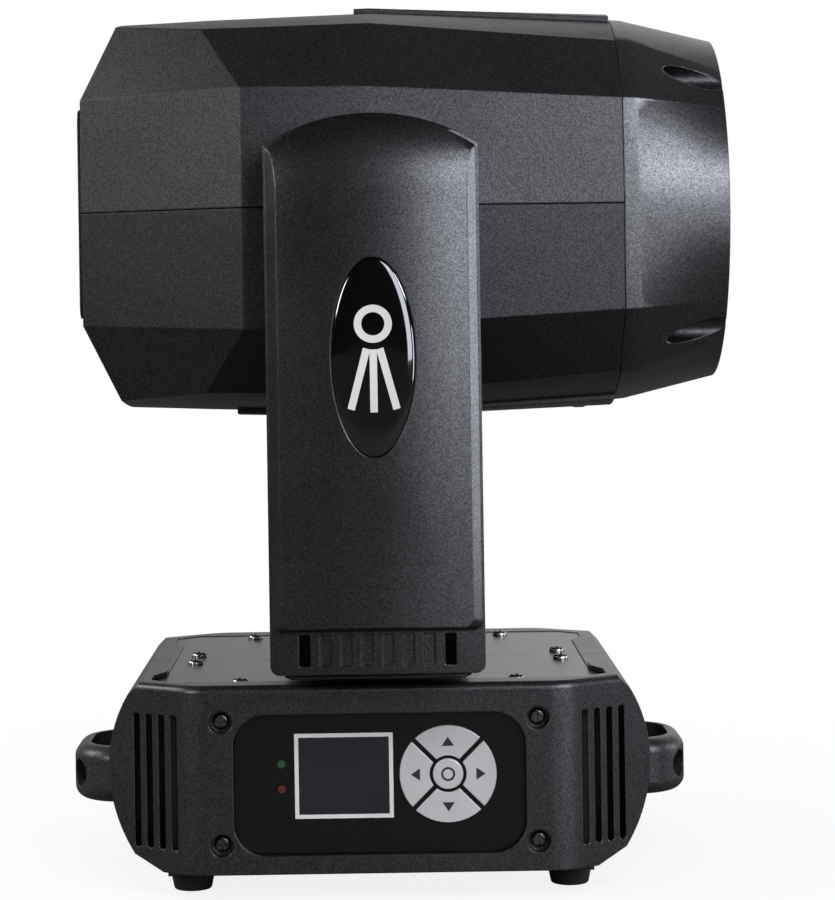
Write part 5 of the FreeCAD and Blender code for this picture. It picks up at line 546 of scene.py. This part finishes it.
def mesh_piece(name, points, faces, material, body):
    """A piece from points and faces, painted and riding on a body."""
    mesh = bpy.data.meshes.new(name)
    mesh.from_pydata(points, [], faces)
    mesh.update()
    piece = bpy.data.objects.new(name, mesh)
    bpy.context.scene.collection.objects.link(piece)
    paint(piece, material)
    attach(piece, body)
    return piece


def slab(outline, front, depth):
    """Points and faces of a flat outline (x, z) standing proud of a face towards -Y."""
    count = len(outline)
    points = [(x, front - depth, z) for x, z in outline] + [(x, front, z) for x, z in outline]
    faces = [list(range(count)), list(range(2 * count - 1, count - 1, -1))]
    for index in range(count):
        after = (index + 1) % count
        faces.append((index, index + count, after + count, after))
    return points, faces


def badge_height(across, up, depth):
    """Height of the badge's dome over its base at shares of its half width and half height."""
    radius = min(math.hypot(across, up), 1)
    swell = (1 - radius ** BADGE_POWER) ** 0.5
    return (depth - 2 * MARK_LIFT) * (BADGE_RIM_SHARE + (1 - BADGE_RIM_SHARE) * swell)


def badges():
    """Glossy elliptical domes in the recesses of both arms, with a plain beam symbol."""
    for side in (1, -1):
        name = "badge_far" if side > 0 else "badge_near"
        badge_dome(name, side)
        ring = []
        for step in range(RING_STEPS):
            angle = math.tau * step / RING_STEPS
            ring.append((RING_RADIUS * math.sin(angle), RING_RISE + RING_RADIUS * math.cos(angle)))
        badge_mark(f"{name}_ring", side, ring, True)
        for index in (-1, 0, 1):
            angle = math.radians(RAY_SPREAD * index)
            ray = []
            for step in range(RAY_STEPS + 1):
                reach = RAY_START + (RAY_END - RAY_START) * step / RAY_STEPS
                ray.append((reach * math.sin(angle), RING_RISE - reach * math.cos(angle)))
            badge_mark(f"{name}_ray_{index + 2}", side, ray, False)


def badge_frame(side):
    """Base plane, dome height, half width, half height and middle height of a badge."""
    low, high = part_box("arm_badges")
    depth = high.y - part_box("arm_outer_covers")[1].y + BADGE_RECESS
    base = side * (high.y - depth)
    return base, depth, (high.x - low.x) / 2, (high.z - low.z) / 2, (low.z + high.z) / 2


def badge_dome(name, side):
    """One dome, from rings of points shrinking towards its middle."""
    base, depth, half_wide, half_tall, middle = badge_frame(side)
    rings = DOME_RINGS
    steps = DOME_STEPS
    points = []
    for ring in range(rings):
        share = math.sin(math.pi / 2 * (ring + 1) / rings)
        for step in range(steps):
            angle = math.tau * step / steps
            across = share * math.cos(angle)
            up = share * math.sin(angle)
            points.append((across * half_wide, base + side * badge_height(across, up, depth),
                           middle + up * half_tall))
    points += [(x, base, z) for x, y, z in points[-steps:]]
    faces = [list(range(steps))]
    for start in range(0, rings * steps, steps):
        for step in range(steps):
            after = (step + 1) % steps
            faces.append((start + step, start + after, start + steps + after, start + steps + step))
    faces.append(list(range(rings * steps, (rings + 1) * steps)))
    dome = mesh_piece(name, points, faces, materials["badge_gloss"], "yoke")
    fix_normals(dome)
    smooth(dome)
    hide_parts("arm_badges")


def badge_mark(name, side, line, closed):
    """White stroke on a dome along a line of (x, height) points, following its surface."""
    base, depth, half_wide, half_tall, middle = badge_frame(side)
    count = len(line)
    points = []
    for index, (x, up) in enumerate(line):
        before = line[index - 1] if closed or index else line[index]
        after = line[(index + 1) % count] if closed or index < count - 1 else line[index]
        along = Vector((after[0] - before[0], after[1] - before[1])).normalized() * MARK_HALF_WIDTH
        for turn in (1, -1):
            spot_x = x - turn * along.y
            spot_up = up + turn * along.x
            height = badge_height(spot_x / half_wide, spot_up / half_tall, depth)
            for lift in (MARK_LIFT, -MARK_LIFT):
                points.append((spot_x, base + side * (height + lift), middle + spot_up))
    faces = []
    for index in range(count if closed else count - 1):
        near = index * 4
        far = (index + 1) % count * 4
        for first, second in ((0, 2), (2, 3), (3, 1), (1, 0)):
            faces.append((near + first, near + second, far + second, far + first))
    if not closed:
        faces += [(0, 1, 3, 2), (4 * count - 4, 4 * count - 2, 4 * count - 1, 4 * count - 3)]
    mark = mesh_piece(name, points, faces, MARK_WHITE, "yoke")
    fix_normals(mark)


def fix_normals(piece):
    """Point a closed mesh's faces outwards."""
    shape = bmesh.new()
    shape.from_mesh(piece.data)
    bmesh.ops.recalc_face_normals(shape, faces=shape.faces)
    shape.to_mesh(piece.data)
    shape.free()


def smooth(piece):
    """Smooth shading up to the smooth angle."""
    piece.data.shade_smooth()
    piece.data.set_sharp_from_angle(angle=math.radians(SMOOTH_ANGLE))


def display_border():
    """White line printed round the display."""
    low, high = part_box("display")
    outer = [(low.x, low.z), (high.x, low.z), (high.x, high.z), (low.x, high.z)]
    inner = [(low.x + BORDER_WIDTH, low.z + BORDER_WIDTH), (high.x - BORDER_WIDTH, low.z + BORDER_WIDTH),
             (high.x - BORDER_WIDTH, high.z - BORDER_WIDTH), (low.x + BORDER_WIDTH, high.z - BORDER_WIDTH)]
    points = []
    for y in (low.y - MARK_DEPTH, low.y):
        points += [(x, y, z) for x, z in outer + inner]
    faces = []
    for index in range(4):
        after = (index + 1) % 4
        faces.append((index, after, after + 4, index + 4))
        faces.append((index + 8, index + 12, after + 12, after + 8))
        faces.append((index, index + 8, after + 8, after))
        faces.append((index + 4, after + 4, after + 12, index + 12))
    mesh_piece("display_border", points, faces, MARK_WHITE, "base")


def key_symbols():
    """Plain arrows on the four direction keys and a ring on the centre key."""
    wheel_low, wheel_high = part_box("key_centre")
    centre = (wheel_low + wheel_high) / 2
    reach = (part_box("key_up")[1].z + wheel_high.z) / 2 - centre.z
    for name, turn in (("key_up", 0), ("key_right", 1), ("key_down", 2), ("key_left", 3)):
        angle = -turn * math.pi / 2
        outline = []
        for across, up in ARROW_OUTLINE:
            x = across * SYMBOL_SIZE
            z = up * SYMBOL_SIZE + reach
            outline.append((centre.x + x * math.cos(angle) - z * math.sin(angle),
                            centre.z + x * math.sin(angle) + z * math.cos(angle)))
        points, faces = slab(outline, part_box(name)[0].y, MARK_DEPTH)
        mesh_piece(name + "_arrow", points, faces, MARK_DARK, name)
    ring_of_centre_key(centre, wheel_low.y)


def ring_of_centre_key(centre, front):
    """Printed ring on the centre key."""
    steps = RING_STEPS
    points = []
    for y in (front - MARK_DEPTH, front):
        for radius in (SYMBOL_SIZE * KEY_RING_OUTER, SYMBOL_SIZE * KEY_RING_INNER):
            for index in range(steps):
                angle = math.tau * index / steps
                points.append((centre.x + radius * math.cos(angle), y, centre.z + radius * math.sin(angle)))
    faces = []
    for index in range(steps):
        after = (index + 1) % steps
        faces.append((index, after, after + steps, index + steps))
        faces.append((index + 2 * steps, index, after, after + 2 * steps))
        faces.append((index + steps, index + 3 * steps, after + 3 * steps, after + steps))
    mesh_piece("key_centre_ring", points, faces, MARK_DARK, "key_centre")


# Stage, lights and camera

def stage_floor():
    """Plain floor that the camera sees as nearly white, with the object's soft shadow."""
    bpy.ops.mesh.primitive_plane_add(size=FLOOR_SIZE, location=(0, 0, cad_box[0].z - FLOOR_DROP))
    floor = bpy.context.object
    floor.name = "stage_floor"
    nodes_of = Nodes(bpy.data.materials.new("stage_floor"))
    nodes_of.set(Roughness=FLOOR_ROUGHNESS, Specular_IOR_Level=FLOOR_SHINE)
    away = nodes_of.add("ShaderNodeVectorMath", operation="LENGTH")
    nodes_of.link(nodes_of.place, away.inputs[0])
    white = nodes_of.spread(away.outputs["Value"], FLOOR_WHITE_SHARE, 1, FLOOR_FADE_START, FLOOR_FADE_END)
    path = nodes_of.add("ShaderNodeLightPath").outputs
    colour = nodes_of.mixed(path["Is Camera Ray"], FLOOR_BOUNCE_COLOUR, FLOOR_COLOUR)
    nodes_of.link(colour, nodes_of.shader.inputs["Base Color"])
    seen = nodes_of.larger(path["Is Camera Ray"], path["Is Transmission Ray"])
    glow = nodes_of.add("ShaderNodeEmission")
    blend = nodes_of.add("ShaderNodeMixShader")
    nodes_of.link(nodes_of.product(seen, white), blend.inputs["Fac"])
    nodes_of.link(nodes_of.shader.outputs["BSDF"], blend.inputs[1])
    nodes_of.link(glow.outputs["Emission"], blend.inputs[2])
    nodes_of.link(blend.outputs["Shader"], nodes_of.tree.nodes["Material Output"].inputs["Surface"])
    paint(floor, nodes_of.owner)


def world_light():
    """White for the camera and glass, white behind the object in reflections, soft light elsewhere."""
    world = bpy.data.worlds.new("studio")
    bpy.context.scene.world = world
    nodes_of = Nodes(world, "Background", "Generated")
    nodes_of.set(Color=(1, 1, 1, 1))
    axes = nodes_of.axes()
    path = nodes_of.add("ShaderNodeLightPath").outputs
    behind = nodes_of.spread(axes["Y"], DARK_SIDE_SHARE, 1, BEHIND_START, BEHIND_END)
    sideways = nodes_of.spread(axes["X"], LEFT_SIDE_SHARE, 1, -SIDE_BLEND, SIDE_BLEND)
    level = nodes_of.product(path["Is Glossy Ray"], nodes_of.product(sideways, behind))
    for ray in ("Is Camera Ray", "Is Transmission Ray"):
        level = nodes_of.larger(level, path[ray])
    level = nodes_of.larger(level, nodes_of.product(path["Is Diffuse Ray"], WORLD_LIGHT_SHARE))
    nodes_of.link(level, nodes_of.shader.inputs["Strength"])


def soft_light(name, azimuth, elevation, distance, size, power, diffuse=True, glossy=True, cool=False):
    """Rectangular soft light aimed at the object; azimuth runs from the camera's side towards +X."""
    turn = math.radians(azimuth)
    rise = math.radians(elevation)
    away = Vector((math.sin(turn) * math.cos(rise), -math.cos(turn) * math.cos(rise), math.sin(rise)))
    data = bpy.data.lights.new(name, "AREA")
    data.shape = "RECTANGLE"
    data.size, data.size_y = size
    data.energy = power
    if cool:
        data.color = COOL_LIGHT
    lamp = bpy.data.objects.new(name, data)
    lamp.location = LIGHT_AIM + away * distance
    lamp.rotation_euler = (-away).to_track_quat("-Z", "Y").to_euler()
    lamp.visible_diffuse = diffuse
    lamp.visible_glossy = glossy
    bpy.context.scene.collection.objects.link(lamp)


def lights():
    """Soft lights around the object, and cards that only show as reflections."""
    soft_light("front", azimuth=20, elevation=35, distance=2.2, size=(1.2, 1.0), power=22, glossy=False)
    soft_light("right", azimuth=95, elevation=5, distance=2.0, size=(0.8, 0.9), power=12, cool=True)
    soft_light("left", azimuth=-90, elevation=28, distance=2.0, size=(0.9, 0.9), power=22)
    soft_light("right_card", azimuth=42, elevation=19, distance=2.2, size=(0.42, 0.45), power=23,
               diffuse=False, cool=True)
    soft_light("low_card", azimuth=42, elevation=0, distance=2.2, size=(0.4, 0.4), power=6,
               diffuse=False, cool=True)
    soft_light("middle_card", azimuth=20, elevation=13, distance=2.2, size=(0.55, 1.1), power=15,
               diffuse=False, cool=True)
    soft_light("left_card", azimuth=-40, elevation=14, distance=2.2, size=(0.42, 0.45), power=14,
               diffuse=False)


def camera():
    """Level camera of the photograph, with its lens shift and slight roll."""
    data = bpy.data.cameras.new("camera")
    data.sensor_width = SENSOR_WIDTH
    data.lens = FOCAL_PIXELS / PHOTO_LONG * SENSOR_WIDTH
    data.shift_x = (PHOTO_MIDDLE[0] - VANISHING_POINT[0]) / PHOTO_LONG
    data.shift_y = (VANISHING_POINT[1] - PHOTO_MIDDLE[1]) / PHOTO_LONG
    view = bpy.data.objects.new("camera", data)
    view.matrix_world = (Matrix.Translation(CAMERA_PLACE) @ Matrix.Rotation(math.pi / 2, 4, "X")
                         @ Matrix.Rotation(math.radians(CAMERA_ROLL), 4, "Z"))
    bpy.context.scene.collection.objects.link(view)
    bpy.context.scene.camera = view


bpy.context.scene.view_settings.view_transform = "Standard"
dress_nodes()
badges()
display_border()
key_symbols()
stage_floor()
world_light()
lights()
camera()
